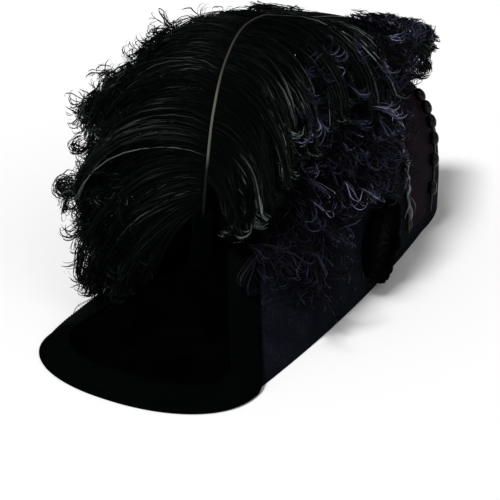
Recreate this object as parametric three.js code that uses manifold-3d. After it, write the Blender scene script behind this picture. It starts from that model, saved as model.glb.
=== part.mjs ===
// A plumed fore-and-aft hat. A hollow felt crown carries a velvet front flap bound with ribbed
// ribbon, a fluted socket with a black ostrich plume whose ends are curled, two curled under-plumes,
// a pleated rosette and a plum side panel edged with beads.
// Millimetres, +Z up. The hat faces -Y, the wearer's left is +X, and the rim stands on z = 0.
import * as THREE from 'three';
import { mergeVertices } from 'three/addons/utils/BufferGeometryUtils.js';
import Module from 'manifold-3d';

const wasm = await Module();
wasm.setup();

// Crown: a felt shell, boat-shaped from above, with rounded ends and bowed sides.
const FRONT_TIP = -221;
const REAR_TIP = 230;
const FRONT_DEPTH = 52; // length of the rounded front end
const REAR_DEPTH = 108; // length of the rounded rear end
const END_ROUND = 2.2;
const HALF_WIDTH = 89;
const CORNER_HALF_WIDTH = 82;
const FELT = 2.5;
const TIP_SPREAD = 2.2; // the front end slopes, so its tip moves this many times the wall's offset
const GAP = 0.4; // clear space between neighbouring pieces
const FINE = 0.04; // details smaller than this are dropped from fused pieces
const CROWN_SECTIONS = [
  { y: -221, ridge: 0, square: 1.6 },
  { y: -200, ridge: 10, square: 1.6 },
  { y: -172, ridge: 21, square: 1.6 },
  { y: -140, ridge: 33, square: 1.7 },
  { y: -107, ridge: 47, square: 1.8 },
  { y: -82, ridge: 66, square: 2.0 },
  { y: -55, ridge: 95, square: 2.3 },
  { y: -20, ridge: 122, square: 2.8 },
  { y: 25, ridge: 137, square: 3.3 },
  { y: 75, ridge: 141, square: 3.7 },
  { y: 125, ridge: 136, square: 3.6 },
  { y: 168, ridge: 120, square: 3.1 },
  { y: 203, ridge: 88, square: 2.6 },
  { y: 222, ridge: 48, square: 2.3 },
  { y: 230, ridge: 0, square: 2.2 },
];
const RIDGE_TOP = 141;
const CROWN_STATIONS = 22;
const CROWN_STEPS = 16;

// Front flap: a velvet tongue over the front of the crown, and the ribbon that binds its edge.
const FLAP_THICK = 2.0;
const FLAP_CORNER = -170;
const FLAP_TOP = { y: -84, x: 34 };
const RIBBON_WIDTH = 22;
const RIBBON_THICK = 1.2;
const FLOOR_CLEAR = 0.4;
const OVER_FLAP = 3 * GAP + FLAP_THICK + RIBBON_THICK; // the surface just clear of flap and ribbon

// Socket: a fluted ribbon tube that stands on the flap and holds the quill.
const SOCKET = { y: -106, foot: 40, top: 86, lean: 0.1, outer: 8.2, flute: 0.9, flutes: 14 };
const SOCKET_BORE = { radius: 2.9, from: 62 };

// Main plume: the quill is a curve in the middle plane, and the barbs hang from both its sides in locks.
const QUILL_BASE_RADIUS = 2.5;
const QUILL_TIP_RADIUS = 0.9;
const QUILL_POINTS = [
  { y: -103.2, z: 68 }, { y: -101.4, z: 86 }, { y: -95, z: 121 }, { y: -85, z: 159 }, { y: -69, z: 189 },
  { y: -47, z: 206 }, { y: -18, z: 209 }, { y: 16, z: 201 }, { y: 60, z: 189 }, { y: 110, z: 177 },
  { y: 160, z: 161 }, { y: 196, z: 141 },
];
const LOCKS_PER_VANE = 11;
const LOCK_STEPS = 6;
const LOCK_THICK = 9;
const CURL_FROM = 0.8; // share of a barb's length where its curled end starts
const CURL_TURN = -110; // degrees that the curled end turns
const VANE_SPINE = 3.6;
// Place along the quill, barb length, sweep to the rear, first and last slope of the barbs in degrees.
// The left vane hangs close to the quill at the front and the right one arches far out.
const LEFT_VANE = [
  { along: 0.1, length: 62, sweep: 0, rise: -10, fall: -98 },
  { along: 0.2, length: 98, sweep: 0, rise: 6, fall: -98 },
  { along: 0.34, length: 124, sweep: 6, rise: 14, fall: -94 },
  { along: 0.5, length: 130, sweep: 12, rise: 14, fall: -86 },
  { along: 0.7, length: 118, sweep: 18, rise: 14, fall: -72 },
  { along: 0.88, length: 102, sweep: 26, rise: 14, fall: -70 },
  { along: 0.98, length: 90, sweep: 36, rise: 12, fall: -74 },
];
const RIGHT_VANE = [
  { along: 0.05, length: 146, sweep: -40, rise: 0, fall: -84 },
  { along: 0.12, length: 174, sweep: -30, rise: 30, fall: -82 },
  { along: 0.2, length: 168, sweep: -20, rise: 46, fall: -78 },
  { along: 0.34, length: 152, sweep: -8, rise: 36, fall: -78 },
  { along: 0.5, length: 132, sweep: 4, rise: 20, fall: -76 },
  { along: 0.7, length: 114, sweep: 16, rise: 25, fall: -68 },
  { along: 0.88, length: 96, sweep: 26, rise: 24, fall: -66 },
  { along: 0.98, length: 90, sweep: 36, rise: 12, fall: -74 },
];

// Under-plumes: curled locks that hang from a backing along each shoulder of the crown.
const UNDER_BACKING = { thick: 3.5, top: 0.18, foot: 0.5 };
const UNDER_THICK = 9;
const UNDER_PITCH = 23;
const UNDER_CURL = 105; // degrees that their ends curl outward
// Place along the hat, lock length and first slope of the locks in degrees.
const LEFT_UNDER = [
  { y: -80, length: 64, rise: 10 },
  { y: -45, length: 70, rise: 22 },
  { y: -18, length: 58, rise: 26 },
  { y: 20, length: 52, rise: 24 },
  { y: 54, length: 54, rise: 14 },
];
const RIGHT_UNDER = [
  { y: -80, length: 68, rise: 10 },
  { y: -20, length: 80, rise: 24 },
  { y: 70, length: 80, rise: 12 },
  { y: 140, length: 64, rise: 4 },
];

// Rosette: a pleated ribbon disc low on the left side, with a covered button.
const ROSETTE = { y: 14, z: 37, radius: 33, pleats: 18, rim: 4.0, hub: 7.0, pleat: 2.2 };
const BUTTON = { radius: 8, height: 4.5 };

// Side panel: a plum leaf on the left side behind the rosette, with piping, hackles and a string of beads.
const PANEL = { front: 70, rear: 128, bow: 8, foot: 0.985, top: 0.44, thick: 1.8 };
const PIPING_RADIUS = 1.2;
const BEADS = { count: 6, radius: 4.2, length: 6.2, thread: 1.1 };
const HACKLES = { count: 8, first: 0.06, last: 0.94, half: 3.4, thick: 1.6, reach: 17, footReach: 34 };

const RIGHT = -1;
const LEFT = 1;

// Felt, velvet, ribbon, feather, horn and glass, in the photographed near-black tones.
const material = (color, roughness, metalness = 0) =>
  new THREE.MeshStandardMaterial({ color, roughness, metalness });
const MATERIALS = {
  felt: material(0x14171d, 0.9),
  velvet: material(0x08080a, 0.95),
  ribbon: material(0x0c0e10, 0.7),
  feather: material(0x0d100f, 0.75),
  underFeather: material(0x100f15, 0.75),
  quill: material(0x2b2a27, 0.3),
  plum: material(0x2a2029, 0.8),
  piping: material(0x3a2e1e, 0.6),
  bead: material(0x060606, 0.25),
  hackle: material(0x17171b, 0.5),
};

// A smooth function of one column of a table.
function column(table, key, name) {
  const places = table.map((row) => row[key]);
  const curve = new THREE.CubicInterpolant(places, table.map((row) => row[name]), 1);
  const [first, last] = [places[0], places[places.length - 1]];
  return (at) => curve.evaluate(THREE.MathUtils.clamp(at, first, last))[0];
}

const ridgeAt = column(CROWN_SECTIONS, 'y', 'ridge');
const squareAt = column(CROWN_SECTIONS, 'y', 'square');

function rimHalfWidth(y) {
  const frontCorner = FRONT_TIP + FRONT_DEPTH;
  const rearCorner = REAR_TIP - REAR_DEPTH;
  const past = Math.max((frontCorner - y) / FRONT_DEPTH, (y - rearCorner) / REAR_DEPTH, 0);
  if (past > 0) return CORNER_HALF_WIDTH * (1 - Math.min(past, 1) ** END_ROUND) ** (1 / END_ROUND);
  const share = (2 * (y - frontCorner)) / (rearCorner - frontCorner) - 1;
  return HALF_WIDTH - (HALF_WIDTH - CORNER_HALF_WIDTH) * share ** 2;
}

// The crown's cross-section at y, for the surface that lies outset from the felt's outer face.
function section(y, outset) {
  const front = FRONT_TIP - TIP_SPREAD * outset;
  const rear = REAR_TIP + outset;
  const share = THREE.MathUtils.clamp((y - front) / (rear - front), 0, 1);
  const felt = FRONT_TIP + share * (REAR_TIP - FRONT_TIP);
  const ridge = Math.max(ridgeAt(felt), 0);
  return {
    halfWidth: rimHalfWidth(felt) * (1 + outset / HALF_WIDTH),
    ridge: ridge + outset * (ridge / RIDGE_TOP) ** 0.7,
    square: squareAt(felt),
  };
}

// A point of the crown: turn runs from -1 at the right rim over 0 at the ridge to 1 at the left rim.
function crownPoint(y, turn, outset = 0) {
  const { halfWidth, ridge, square } = section(y, outset);
  const angle = (turn * Math.PI) / 2;
  const x = halfWidth * Math.sign(angle) * Math.abs(Math.sin(angle)) ** (2 / square);
  const z = ridge * Math.abs(Math.cos(angle)) ** (2 / square);
  return new THREE.Vector3(x, y, Math.abs(turn) === 1 ? 0 : z);
}

// Stations from the front tip to the rear tip, close together at both ends.
function stations(outset, count = CROWN_STATIONS) {
  const front = FRONT_TIP - TIP_SPREAD * outset;
  const rear = REAR_TIP + outset;
  return Array.from({ length: count + 1 }, (_, i) => {
    const share = (1 - Math.cos((Math.PI * i) / count)) / 2;
    return front + share * (rear - front);
  });
}

// A closed geometry from triangles given as triples of points; empty triangles are dropped.
function geometryFrom(triangles) {
  const flat = new Float32Array(triangles.length * 9);
  triangles.forEach((triangle, i) => triangle.forEach((p, k) => p.toArray(flat, i * 9 + k * 3)));
  const loose = new THREE.BufferGeometry().setAttribute('position', new THREE.BufferAttribute(flat, 3));
  const merged = mergeVertices(loose, 1e-3);
  const index = [];
  for (let i = 0; i < merged.index.count; i += 3) {
    const [a, b, c] = [0, 1, 2].map((k) => merged.index.getX(i + k));
    if (a !== b && b !== c && c !== a) index.push(a, b, c);
  }
  return merged.setIndex(index);
}

// The two triangles of each cell of a grid of points, facing the side that flip chooses.
function gridTriangles(grid, flip = false) {
  const made = [];
  for (let i = 0; i + 1 < grid.length; i++) {
    for (let j = 0; j + 1 < grid[i].length; j++) {
      const [a, b, c, d] = [grid[i][j], grid[i + 1][j], grid[i + 1][j + 1], grid[i][j + 1]];
      made.push(flip ? [a, c, b] : [a, b, c], flip ? [a, d, c] : [a, c, d]);
    }
  }
  return made;
}

// The wall between the edges of two matching sheets; each edge is a list of points.
const wallTriangles = (upper, lower, flip = false) => gridTriangles([upper, lower], flip);

// A sheet with thickness between two matching grids, closed along its four edges.
function sheetGeometry(upper, lower) {
  const last = upper.length - 1;
  const end = upper[0].length - 1;
  const side = (grid, j) => grid.map((row) => row[j]);
  return geometryFrom([
    ...gridTriangles(upper),
    ...gridTriangles(lower, true),
    ...wallTriangles(upper[0], lower[0], true),
    ...wallTriangles(upper[last], lower[last]),
    ...wallTriangles(side(upper, 0), side(lower, 0)),
    ...wallTriangles(side(upper, end), side(lower, end), true),
  ]);
}

const toSolid = (geometry) => {
  const vertProperties = new Float32Array(geometry.getAttribute('position').array);
  const triVerts = new Uint32Array(geometry.index.array);
  const solid = new wasm.Manifold(new wasm.Mesh({ numProp: 3, vertProperties, triVerts }));
  if (solid.volume() > 0) return solid;
  return new wasm.Manifold(new wasm.Mesh({ numProp: 3, vertProperties, triVerts: triVerts.reverse() }));
};

// A library shape, stripped to its positions so that shared corners merge.
function plainSolid(geometry) {
  const bare = geometry.index ? geometry.toNonIndexed() : geometry.clone();
  bare.deleteAttribute('normal');
  bare.deleteAttribute('uv');
  return toSolid(mergeVertices(bare, 1e-3));
}

function toGeometry(solid) {
  const mesh = solid.getMesh();
  const positions = new Float32Array(mesh.numVert * 3);
  for (let i = 0; i < mesh.numVert; i++) {
    positions.set(mesh.vertProperties.subarray(i * mesh.numProp, i * mesh.numProp + 3), i * 3);
  }
  return new THREE.BufferGeometry()
    .setAttribute('position', new THREE.BufferAttribute(positions, 3))
    .setIndex(new THREE.BufferAttribute(new Uint32Array(mesh.triVerts), 1));
}

// The largest body of a cut solid, so that slivers left by the cut go.
const mainBody = (solid) =>
  solid.decompose().reduce((best, body) => (body.volume() > best.volume() ? body : best)).simplify(FINE);

// A solid with its neighbour cut out of it, and a gap left on the side that the step points to.
const clearOf = (solid, neighbour, step) =>
  mainBody(solid.subtract(neighbour).subtract(neighbour.translate(step)));

const hat = new THREE.Group();
function addPiece(name, solid, finish) {
  const mesh = new THREE.Mesh(toGeometry(solid), MATERIALS[finish].clone());
  mesh.name = name;
  hat.add(mesh);
}

// Everything inside the surface that lies outset from the felt, as one solid that cuts its neighbours.
function crownMould(outset) {
  const turns = Array.from({ length: CROWN_STEPS + 1 }, (_, j) => -1 + (2 * j) / CROWN_STEPS);
  const roof = stations(outset).map((y) => turns.map((turn) => crownPoint(y, turn, outset)));
  const floor = roof.map((row) => {
    const [from, to] = [row[0], row[row.length - 1]];
    return row.map((_, j) => from.clone().lerp(to, j / (row.length - 1)).setZ(0));
  });
  return toSolid(geometryFrom([...gridTriangles(roof), ...gridTriangles(floor, true)]));
}

function makeCrown() {
  const outer = crownMould(0);
  const hollow = crownMould(-FELT);
  const sunk = hollow.translate([0, 0, -FELT]);
  return outer.subtract(hollow.add(sunk));
}

// A layer of cloth on the crown: the shell between two moulds, cut to an outline seen from above.
function clothLayer(foot, thick, outline) {
  return crownMould(foot + thick).subtract(crownMould(foot)).intersect(prism(outline, FLOOR_CLEAR));
}

function prism(outline, from) {
  const shape = new THREE.Shape(outline);
  const block = new THREE.ExtrudeGeometry(shape, { depth: RIDGE_TOP, bevelEnabled: false });
  return plainSolid(block.translate(0, 0, from));
}

function mirrored(points) {
  const otherSide = [...points].reverse().map(({ x, y }) => new THREE.Vector2(-x, y));
  return [...points, ...otherSide];
}

// The flap's side edges run from its top end to the rim's corner and on past the rim.
const FLAP_END = new THREE.Vector2(FLAP_TOP.x, FLAP_TOP.y);
const FLAP_SIDE = new THREE.Vector2(rimHalfWidth(FLAP_CORNER), FLAP_CORNER).sub(FLAP_END).normalize();
const PAST_RIM = FLAP_END.clone().addScaledVector(FLAP_SIDE, 140);
const FLAP_OUTLINE = mirrored([FLAP_END, PAST_RIM, new THREE.Vector2(PAST_RIM.x, FRONT_TIP - 40)]);

const makeFrontFlap = () => clothLayer(GAP, FLAP_THICK, FLAP_OUTLINE);

// The ribbon follows the flap's edge: its inner edge lies one ribbon's width inside the rim and the sides.
function makeFrontBinding() {
  const foot = 2 * GAP + FLAP_THICK;
  const tip = FRONT_TIP - TIP_SPREAD * foot + RIBBON_WIDTH;
  const sideStep = new THREE.Vector2(FLAP_SIDE.y, -FLAP_SIDE.x).multiplyScalar(RIBBON_WIDTH);
  const inner = [FLAP_END.clone().add(sideStep).addScaledVector(FLAP_SIDE, -20)];
  const steps = 14;
  for (let i = 0; i <= steps; i++) {
    const share = 1 - i / steps;
    const y = tip + (FLAP_CORNER + 24 - tip) * share ** 2;
    const rim = section(y - RIBBON_WIDTH * (1 - share), foot).halfWidth - RIBBON_WIDTH * share ** 0.5;
    const side = inner[0].x + ((y - inner[0].y) * FLAP_SIDE.x) / FLAP_SIDE.y;
    inner.push(new THREE.Vector2(i === steps ? 0 : Math.min(rim, side), y));
  }
  const hole = mirrored(inner.slice(0, -1));
  hole.splice(inner.length - 1, 0, inner[inner.length - 1]);
  return clothLayer(foot, RIBBON_THICK, FLAP_OUTLINE).subtract(prism(hole, -1));
}

// A tube through rings of points, closed at both ends.
function tubeGeometry(rings) {
  const closed = rings.map((ring) => [...ring, ring[0]]);
  const cap = (ring, flip) => {
    const middle = ring.reduce((sum, p) => sum.add(p), new THREE.Vector3()).divideScalar(ring.length);
    return ring.map((p, i) => {
      const next = ring[(i + 1) % ring.length];
      return flip ? [middle, p, next] : [middle, next, p];
    });
  };
  return geometryFrom([
    ...gridTriangles(closed),
    ...cap(rings[0], true),
    ...cap(rings[rings.length - 1], false),
  ]);
}

function makeSocket() {
  const levels = [SOCKET.foot, SOCKET.top];
  const sides = 2 * SOCKET.flutes;
  const rings = levels.map((z) =>
    Array.from({ length: sides }, (_, i) => {
      const angle = (2 * Math.PI * i) / sides;
      const radius = SOCKET.outer - (i % 2) * SOCKET.flute;
      const y = SOCKET.y + (z - SOCKET.foot) * SOCKET.lean;
      return new THREE.Vector3(radius * Math.cos(angle), y + radius * Math.sin(angle), z);
    }));
  const depth = SOCKET.top - SOCKET_BORE.from;
  const bore = new THREE.CylinderGeometry(SOCKET_BORE.radius, SOCKET_BORE.radius, 2 * depth, 12);
  bore.rotateX(Math.PI / 2 - Math.atan(SOCKET.lean));
  bore.translate(0, SOCKET.y + (SOCKET.top - SOCKET.foot) * SOCKET.lean, SOCKET.top);
  const seat = crownMould(2 * GAP + FLAP_THICK);
  return mainBody(toSolid(tubeGeometry(rings)).subtract(plainSolid(bore)).subtract(seat));
}

const quillCurve = new THREE.CatmullRomCurve3(
  QUILL_POINTS.map(({ y, z }) => new THREE.Vector3(0, y, z)), false, 'centripetal');
const quillRadius = (along) => THREE.MathUtils.lerp(QUILL_BASE_RADIUS, QUILL_TIP_RADIUS, along);

function makeQuill() {
  const steps = 26;
  const sides = 6;
  const across = new THREE.Vector3(1, 0, 0);
  const rings = Array.from({ length: steps + 1 }, (_, i) => {
    const along = i / steps;
    const middle = quillCurve.getPointAt(along);
    const up = across.clone().cross(quillCurve.getTangentAt(along));
    return Array.from({ length: sides }, (_, k) => {
      const angle = (2 * Math.PI * (k + 0.5)) / sides;
      return middle.clone()
        .addScaledVector(across, quillRadius(along) * Math.cos(angle))
        .addScaledVector(up, quillRadius(along) * Math.sin(angle));
    });
  });
  return toSolid(tubeGeometry(rings));
}

// The path of a hanging barb: it leaves its root along heading, turns from rise to fall, then curls.
function barbPath({ root, heading, rise, fall, length, curl }) {
  const up = new THREE.Vector3(0, 0, 1);
  const point = root.clone();
  return Array.from({ length: LOCK_STEPS + 1 }, (_, i) => {
    const share = i / LOCK_STEPS;
    const curled = Math.max(share - CURL_FROM, 0) / (1 - CURL_FROM);
    const slope = THREE.MathUtils.degToRad(rise + (fall - rise) * share ** 0.8 + curl * curled);
    const tangent = heading.clone().multiplyScalar(Math.cos(slope)).addScaledVector(up, Math.sin(slope));
    if (i > 0) point.addScaledVector(tangent, length / LOCK_STEPS);
    return { point: point.clone(), tangent, share };
  });
}

// A lock fills the strip between two neighbouring barbs and tapers to a blunt point. Its section is a lens.
function lockSolid(from, middle, to, thick) {
  const rings = middle.map(({ point, tangent, share }, i) => {
    const spread = 1.05 - 0.6 * share ** 3;
    const depth = (thick / 2) * (1 - 0.6 * share ** 2);
    const across = to[i].point.clone().sub(from[i].point);
    const normal = tangent.clone().cross(across).normalize();
    return [
      point.clone().lerp(to[i].point, spread),
      point.clone().addScaledVector(normal, depth),
      point.clone().lerp(from[i].point, spread),
      point.clone().addScaledVector(normal, -depth),
    ];
  });
  return toSolid(tubeGeometry(rings));
}

// One side of the main plume: a spine beside the quill with locks of barbs fused to it.
function makeVane(side, table) {
  const first = table[0].along;
  const last = table[table.length - 1].along;
  const at = Object.fromEntries(
    ['length', 'sweep', 'rise', 'fall'].map((name) => [name, column(table, 'along', name)]));
  const beside = (along, out) =>
    quillCurve.getPointAt(along).setX(side * (quillRadius(along) + GAP + VANE_SPINE * out));
  const barb = (along) => {
    const sweep = THREE.MathUtils.degToRad(at.sweep(along));
    return barbPath({
      root: beside(along, 0.6),
      heading: new THREE.Vector3(side * Math.cos(sweep), Math.sin(sweep), 0),
      rise: at.rise(along),
      fall: at.fall(along),
      length: at.length(along),
      curl: CURL_TURN,
    });
  };
  const spineSteps = 22;
  const rings = Array.from({ length: spineSteps + 1 }, (_, i) => {
    const along = first + ((last - first) * i) / spineSteps;
    const up = new THREE.Vector3(1, 0, 0).cross(quillCurve.getTangentAt(along));
    return [0, 0.5, 1, 0.5].map((out, k) =>
      beside(along, out).addScaledVector(up, side * [0, -0.5, 0, 0.5][k] * VANE_SPINE));
  });
  let vane = toSolid(tubeGeometry(rings));
  const pitch = (last - first) / LOCKS_PER_VANE;
  for (let i = 0; i < LOCKS_PER_VANE; i++) {
    const along = first + pitch * (i + 0.5);
    vane = vane.add(lockSolid(barb(along - pitch / 2), barb(along), barb(along + pitch / 2), LOCK_THICK));
  }
  return mainBody(vane.subtract(crownMould(OVER_FLAP)));
}

// An under-plume: a backing along one shoulder of the crown, with curled locks that hang over its side.
function makeUnderPlume(side, table) {
  const front = table[0].y;
  const rear = table[table.length - 1].y;
  const at = Object.fromEntries(['length', 'rise'].map((name) => [name, column(table, 'y', name)]));
  const rows = 10;
  const layer = (outset) =>
    Array.from({ length: rows + 1 }, (_, i) => {
      const y = front + ((rear - front) * i) / rows;
      return Array.from({ length: 4 }, (_, j) => {
        const turn = UNDER_BACKING.top + ((UNDER_BACKING.foot - UNDER_BACKING.top) * j) / 3;
        return crownPoint(y, side * turn, outset);
      });
    });
  const barb = (y) =>
    barbPath({
      root: crownPoint(y, side * (UNDER_BACKING.foot - 0.05), GAP + UNDER_BACKING.thick / 2),
      heading: new THREE.Vector3(side, 0, 0),
      rise: at.rise(y),
      fall: -112,
      length: at.length(y),
      curl: UNDER_CURL,
    });
  let plume = toSolid(sheetGeometry(layer(GAP + UNDER_BACKING.thick), layer(GAP)));
  const locks = Math.round((rear - front) / UNDER_PITCH);
  const pitch = (rear - front) / locks;
  for (let i = 0; i < locks; i++) {
    const y = front + pitch * (i + 0.5);
    plume = plume.add(lockSolid(barb(y - pitch / 2), barb(y), barb(y + pitch / 2), UNDER_THICK));
  }
  return mainBody(plume.subtract(crownMould(GAP)));
}

// A disc of radial pleats. Its back is flat and stands against the left side of the crown.
function makeRosette() {
  const { radius, pleats, rim, hub, pleat } = ROSETTE;
  const sides = 2 * pleats;
  const back = crownPoint(ROSETTE.y, 1).x + GAP;
  const spot = (r, i, x) => {
    const angle = (2 * Math.PI * i) / sides;
    const y = ROSETTE.y + r * Math.cos(angle);
    return new THREE.Vector3(back + x, y, ROSETTE.z + r * Math.sin(angle));
  };
  const front = Array.from({ length: sides + 1 }, (_, i) => {
    const lift = (i % 2) * pleat;
    const reach = radius - (1 - (i % 2)) * 1.6;
    return [
      spot(0, i, 0), spot(reach, i, 0), spot(reach, i, rim + lift),
      spot(radius * 0.45, i, hub - 1 + lift * 0.5), spot(0, i, hub),
    ];
  });
  return toSolid(geometryFrom(gridTriangles(front)));
}

function makeRosetteButton() {
  const dome = new THREE.SphereGeometry(BUTTON.radius, 14, 4, 0, 2 * Math.PI, 0, Math.PI / 2);
  dome.scale(1, BUTTON.height / BUTTON.radius, 1);
  const base = new THREE.CircleGeometry(BUTTON.radius, 14).rotateX(Math.PI / 2);
  const parts = [dome, base].map((g) => (g.index ? g.toNonIndexed() : g).getAttribute('position').array);
  const positions = new Float32Array(parts[0].length + parts[1].length);
  positions.set(parts[0]);
  positions.set(parts[1], parts[0].length);
  const shape = new THREE.BufferGeometry().setAttribute('position', new THREE.BufferAttribute(positions, 3));
  shape.rotateZ(-Math.PI / 2);
  const face = crownPoint(ROSETTE.y, 1).x + GAP + ROSETTE.hub + GAP;
  shape.translate(face, ROSETTE.y, ROSETTE.z);
  const lifted = mergeVertices(shape, 1e-3);
  return toSolid(geometryFromIndexed(lifted));
}

// Triangles of an indexed geometry, with empty ones dropped.
function geometryFromIndexed(geometry) {
  const place = geometry.getAttribute('position');
  const triangles = [];
  const corner = (i) => new THREE.Vector3().fromBufferAttribute(place, geometry.index.getX(i));
  for (let i = 0; i < geometry.index.count; i += 3) {
    triangles.push([corner(i), corner(i + 1), corner(i + 2)]);
  }
  return geometryFrom(triangles);
}

// The panel's two long edges bow apart between its foot and its top.
const panelTurn = (share) => THREE.MathUtils.lerp(PANEL.foot, PANEL.top, share);
const panelBow = (share) => PANEL.bow * (1 - Math.sin(Math.PI * share));
const panelFront = (share) => PANEL.front + panelBow(share);
const panelRear = (share) => PANEL.rear - panelBow(share);

function makeSidePanel() {
  const layer = (outset) =>
    Array.from({ length: 11 }, (_, i) => {
      const share = i / 10;
      return Array.from({ length: 5 }, (_, j) => {
        const y = THREE.MathUtils.lerp(panelFront(share), panelRear(share), j / 4);
        return crownPoint(y, panelTurn(share), outset);
      });
    });
  return toSolid(sheetGeometry(layer(GAP + PANEL.thick), layer(GAP)));
}

// A round cord through points, as a closed tube.
function cordSolid(points, radius, sides) {
  const curve = new THREE.CatmullRomCurve3(points);
  const outline = new THREE.Shape(Array.from({ length: sides }, (_, k) => {
    const angle = (2 * Math.PI * k) / sides;
    return new THREE.Vector2(radius * Math.cos(angle), radius * Math.sin(angle));
  }));
  return plainSolid(new THREE.ExtrudeGeometry(outline, { steps: 9, extrudePath: curve }));
}

// Points along one of the panel's edges, spread wider by out and lifted off the felt by lift.
const EDGE_POINTS = 8;
const panelEdge = (edge, out, lift) =>
  Array.from({ length: EDGE_POINTS + 1 }, (_, i) =>
    crownPoint(edge(i / EDGE_POINTS) + out, panelTurn(i / EDGE_POINTS), lift));

const makePiping = () =>
  cordSolid(panelEdge(panelFront, -PIPING_RADIUS - GAP, GAP + PIPING_RADIUS), PIPING_RADIUS, 6);

// Pointed hackle feathers sewn in a row in front of the piping; the ones at the foot are longest.
function makeHackles() {
  const { count, first, last, half, thick, reach, footReach } = HACKLES;
  const out = -2 * PIPING_RADIUS - 3 * GAP - thick;
  let row = cordSolid(panelEdge(panelFront, out, GAP + thick), thick / 2, 4);
  for (let i = 0; i < count; i++) {
    const share = THREE.MathUtils.lerp(first, last, i / (count - 1));
    const length = THREE.MathUtils.lerp(footReach, reach, Math.min(share * 2.5, 1));
    const root = crownPoint(panelFront(share) + out, panelTurn(share), GAP + thick);
    const tip = root.clone().add(new THREE.Vector3(0.25, -0.62, -0.75).multiplyScalar(length));
    tip.z = Math.max(tip.z, 6);
    const along = tip.clone().sub(root);
    const across = new THREE.Vector3(1, 0, 0).cross(along).normalize();
    const normal = along.clone().cross(across).normalize();
    const rings = [[-0.04, 0.4], [0.4, 1], [0.8, 0.55], [1, 0.08]].map(([share, wide]) => {
      const middle = root.clone().addScaledVector(along, share);
      return [
        middle.clone().addScaledVector(across, half * wide),
        middle.clone().addScaledVector(normal, (thick / 2) * (0.4 + 0.6 * wide)),
        middle.clone().addScaledVector(across, -half * wide),
        middle.clone().addScaledVector(normal, (-thick / 2) * (0.4 + 0.6 * wide)),
      ];
    });
    row = row.add(toSolid(tubeGeometry(rings)));
  }
  return mainBody(row.subtract(crownMould(GAP)));
}

// Beads threaded along the panel's rear edge, fused with their thread into one string.
function makeBeadEdging() {
  const place = (share) =>
    crownPoint(panelRear(share) + BEADS.radius + GAP, panelTurn(share), GAP + BEADS.radius);
  let string = cordSolid(panelEdge(panelRear, BEADS.radius + GAP, GAP + BEADS.radius), BEADS.thread, 5);
  const upright = new THREE.Vector3(0, 0, 1);
  for (let i = 0; i < BEADS.count; i++) {
    const share = (i + 0.5) / BEADS.count;
    const along = place(share + 0.02).sub(place(share - 0.02)).normalize();
    const bead = new THREE.SphereGeometry(BEADS.radius, 10, 6).rotateX(Math.PI / 2);
    bead.scale(1, 1, BEADS.length / BEADS.radius);
    bead.applyQuaternion(new THREE.Quaternion().setFromUnitVectors(upright, along));
    const middle = place(share);
    bead.translate(middle.x, middle.y, middle.z);
    string = string.add(plainSolid(bead));
  }
  return mainBody(string.subtract(crownMould(GAP)));
}

const beads = makeBeadEdging();
const leftVane = clearOf(makeVane(LEFT, LEFT_VANE), beads, [GAP, 0, GAP]);
const rightVane = makeVane(RIGHT, RIGHT_VANE);

addPiece('crown', makeCrown(), 'felt');
addPiece('front_flap', makeFrontFlap(), 'velvet');
addPiece('front_binding', makeFrontBinding(), 'ribbon');
addPiece('plume_socket', makeSocket(), 'ribbon');
addPiece('plume_quill', makeQuill(), 'quill');
addPiece('plume_vane_left', leftVane, 'feather');
addPiece('plume_vane_right', rightVane, 'feather');
addPiece('under_plume_left', makeUnderPlume(LEFT, LEFT_UNDER), 'underFeather');
addPiece('under_plume_right', makeUnderPlume(RIGHT, RIGHT_UNDER), 'underFeather');
addPiece('rosette', makeRosette(), 'ribbon');
addPiece('rosette_button', makeRosetteButton(), 'velvet');
addPiece('side_panel', makeSidePanel(), 'plum');
addPiece('panel_piping', makePiping(), 'piping');
addPiece('hackle_fringe', makeHackles(), 'hackle');
addPiece('bead_edging', beads, 'bead');

// The hat stands over the origin: the middle of its whole extent lies on the Z axis.
const middle = new THREE.Box3().setFromObject(hat).getCenter(new THREE.Vector3());
hat.children.forEach((mesh) => mesh.geometry.translate(-middle.x, -middle.y, 0));

export default hat;
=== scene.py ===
"""Looks of a plumed fore-and-aft hat: felt crown, velvet flap with its ribbon, ostrich plumes and trim.

Sizes in the tables are millimetres in the hat's own frame: the front is -Y, the wearer's left is +X, and the
rim stands on z = 0. The hat's frame is moved to where the CAD crown stands.
"""

import math

import bpy
import numpy as np
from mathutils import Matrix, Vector


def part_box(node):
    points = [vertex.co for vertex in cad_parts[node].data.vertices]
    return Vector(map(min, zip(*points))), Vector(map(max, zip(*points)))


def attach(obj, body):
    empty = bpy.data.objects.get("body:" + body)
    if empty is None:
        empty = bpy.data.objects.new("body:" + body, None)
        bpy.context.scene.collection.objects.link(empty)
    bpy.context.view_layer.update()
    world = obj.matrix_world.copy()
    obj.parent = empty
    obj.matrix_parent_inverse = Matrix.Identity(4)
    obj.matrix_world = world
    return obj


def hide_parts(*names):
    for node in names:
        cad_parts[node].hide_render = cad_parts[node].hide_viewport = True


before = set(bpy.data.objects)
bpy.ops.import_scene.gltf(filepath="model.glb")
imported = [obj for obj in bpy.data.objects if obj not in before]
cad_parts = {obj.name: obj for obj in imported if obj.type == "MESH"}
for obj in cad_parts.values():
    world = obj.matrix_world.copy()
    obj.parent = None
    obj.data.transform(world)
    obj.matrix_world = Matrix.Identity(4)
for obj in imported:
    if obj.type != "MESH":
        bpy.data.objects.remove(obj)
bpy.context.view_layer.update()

MM = 0.001
TINY = 1e-9
# A line's direction is taken over this step each way
LINE_STEP = 0.5
LEFT, RIGHT = 1, -1

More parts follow.
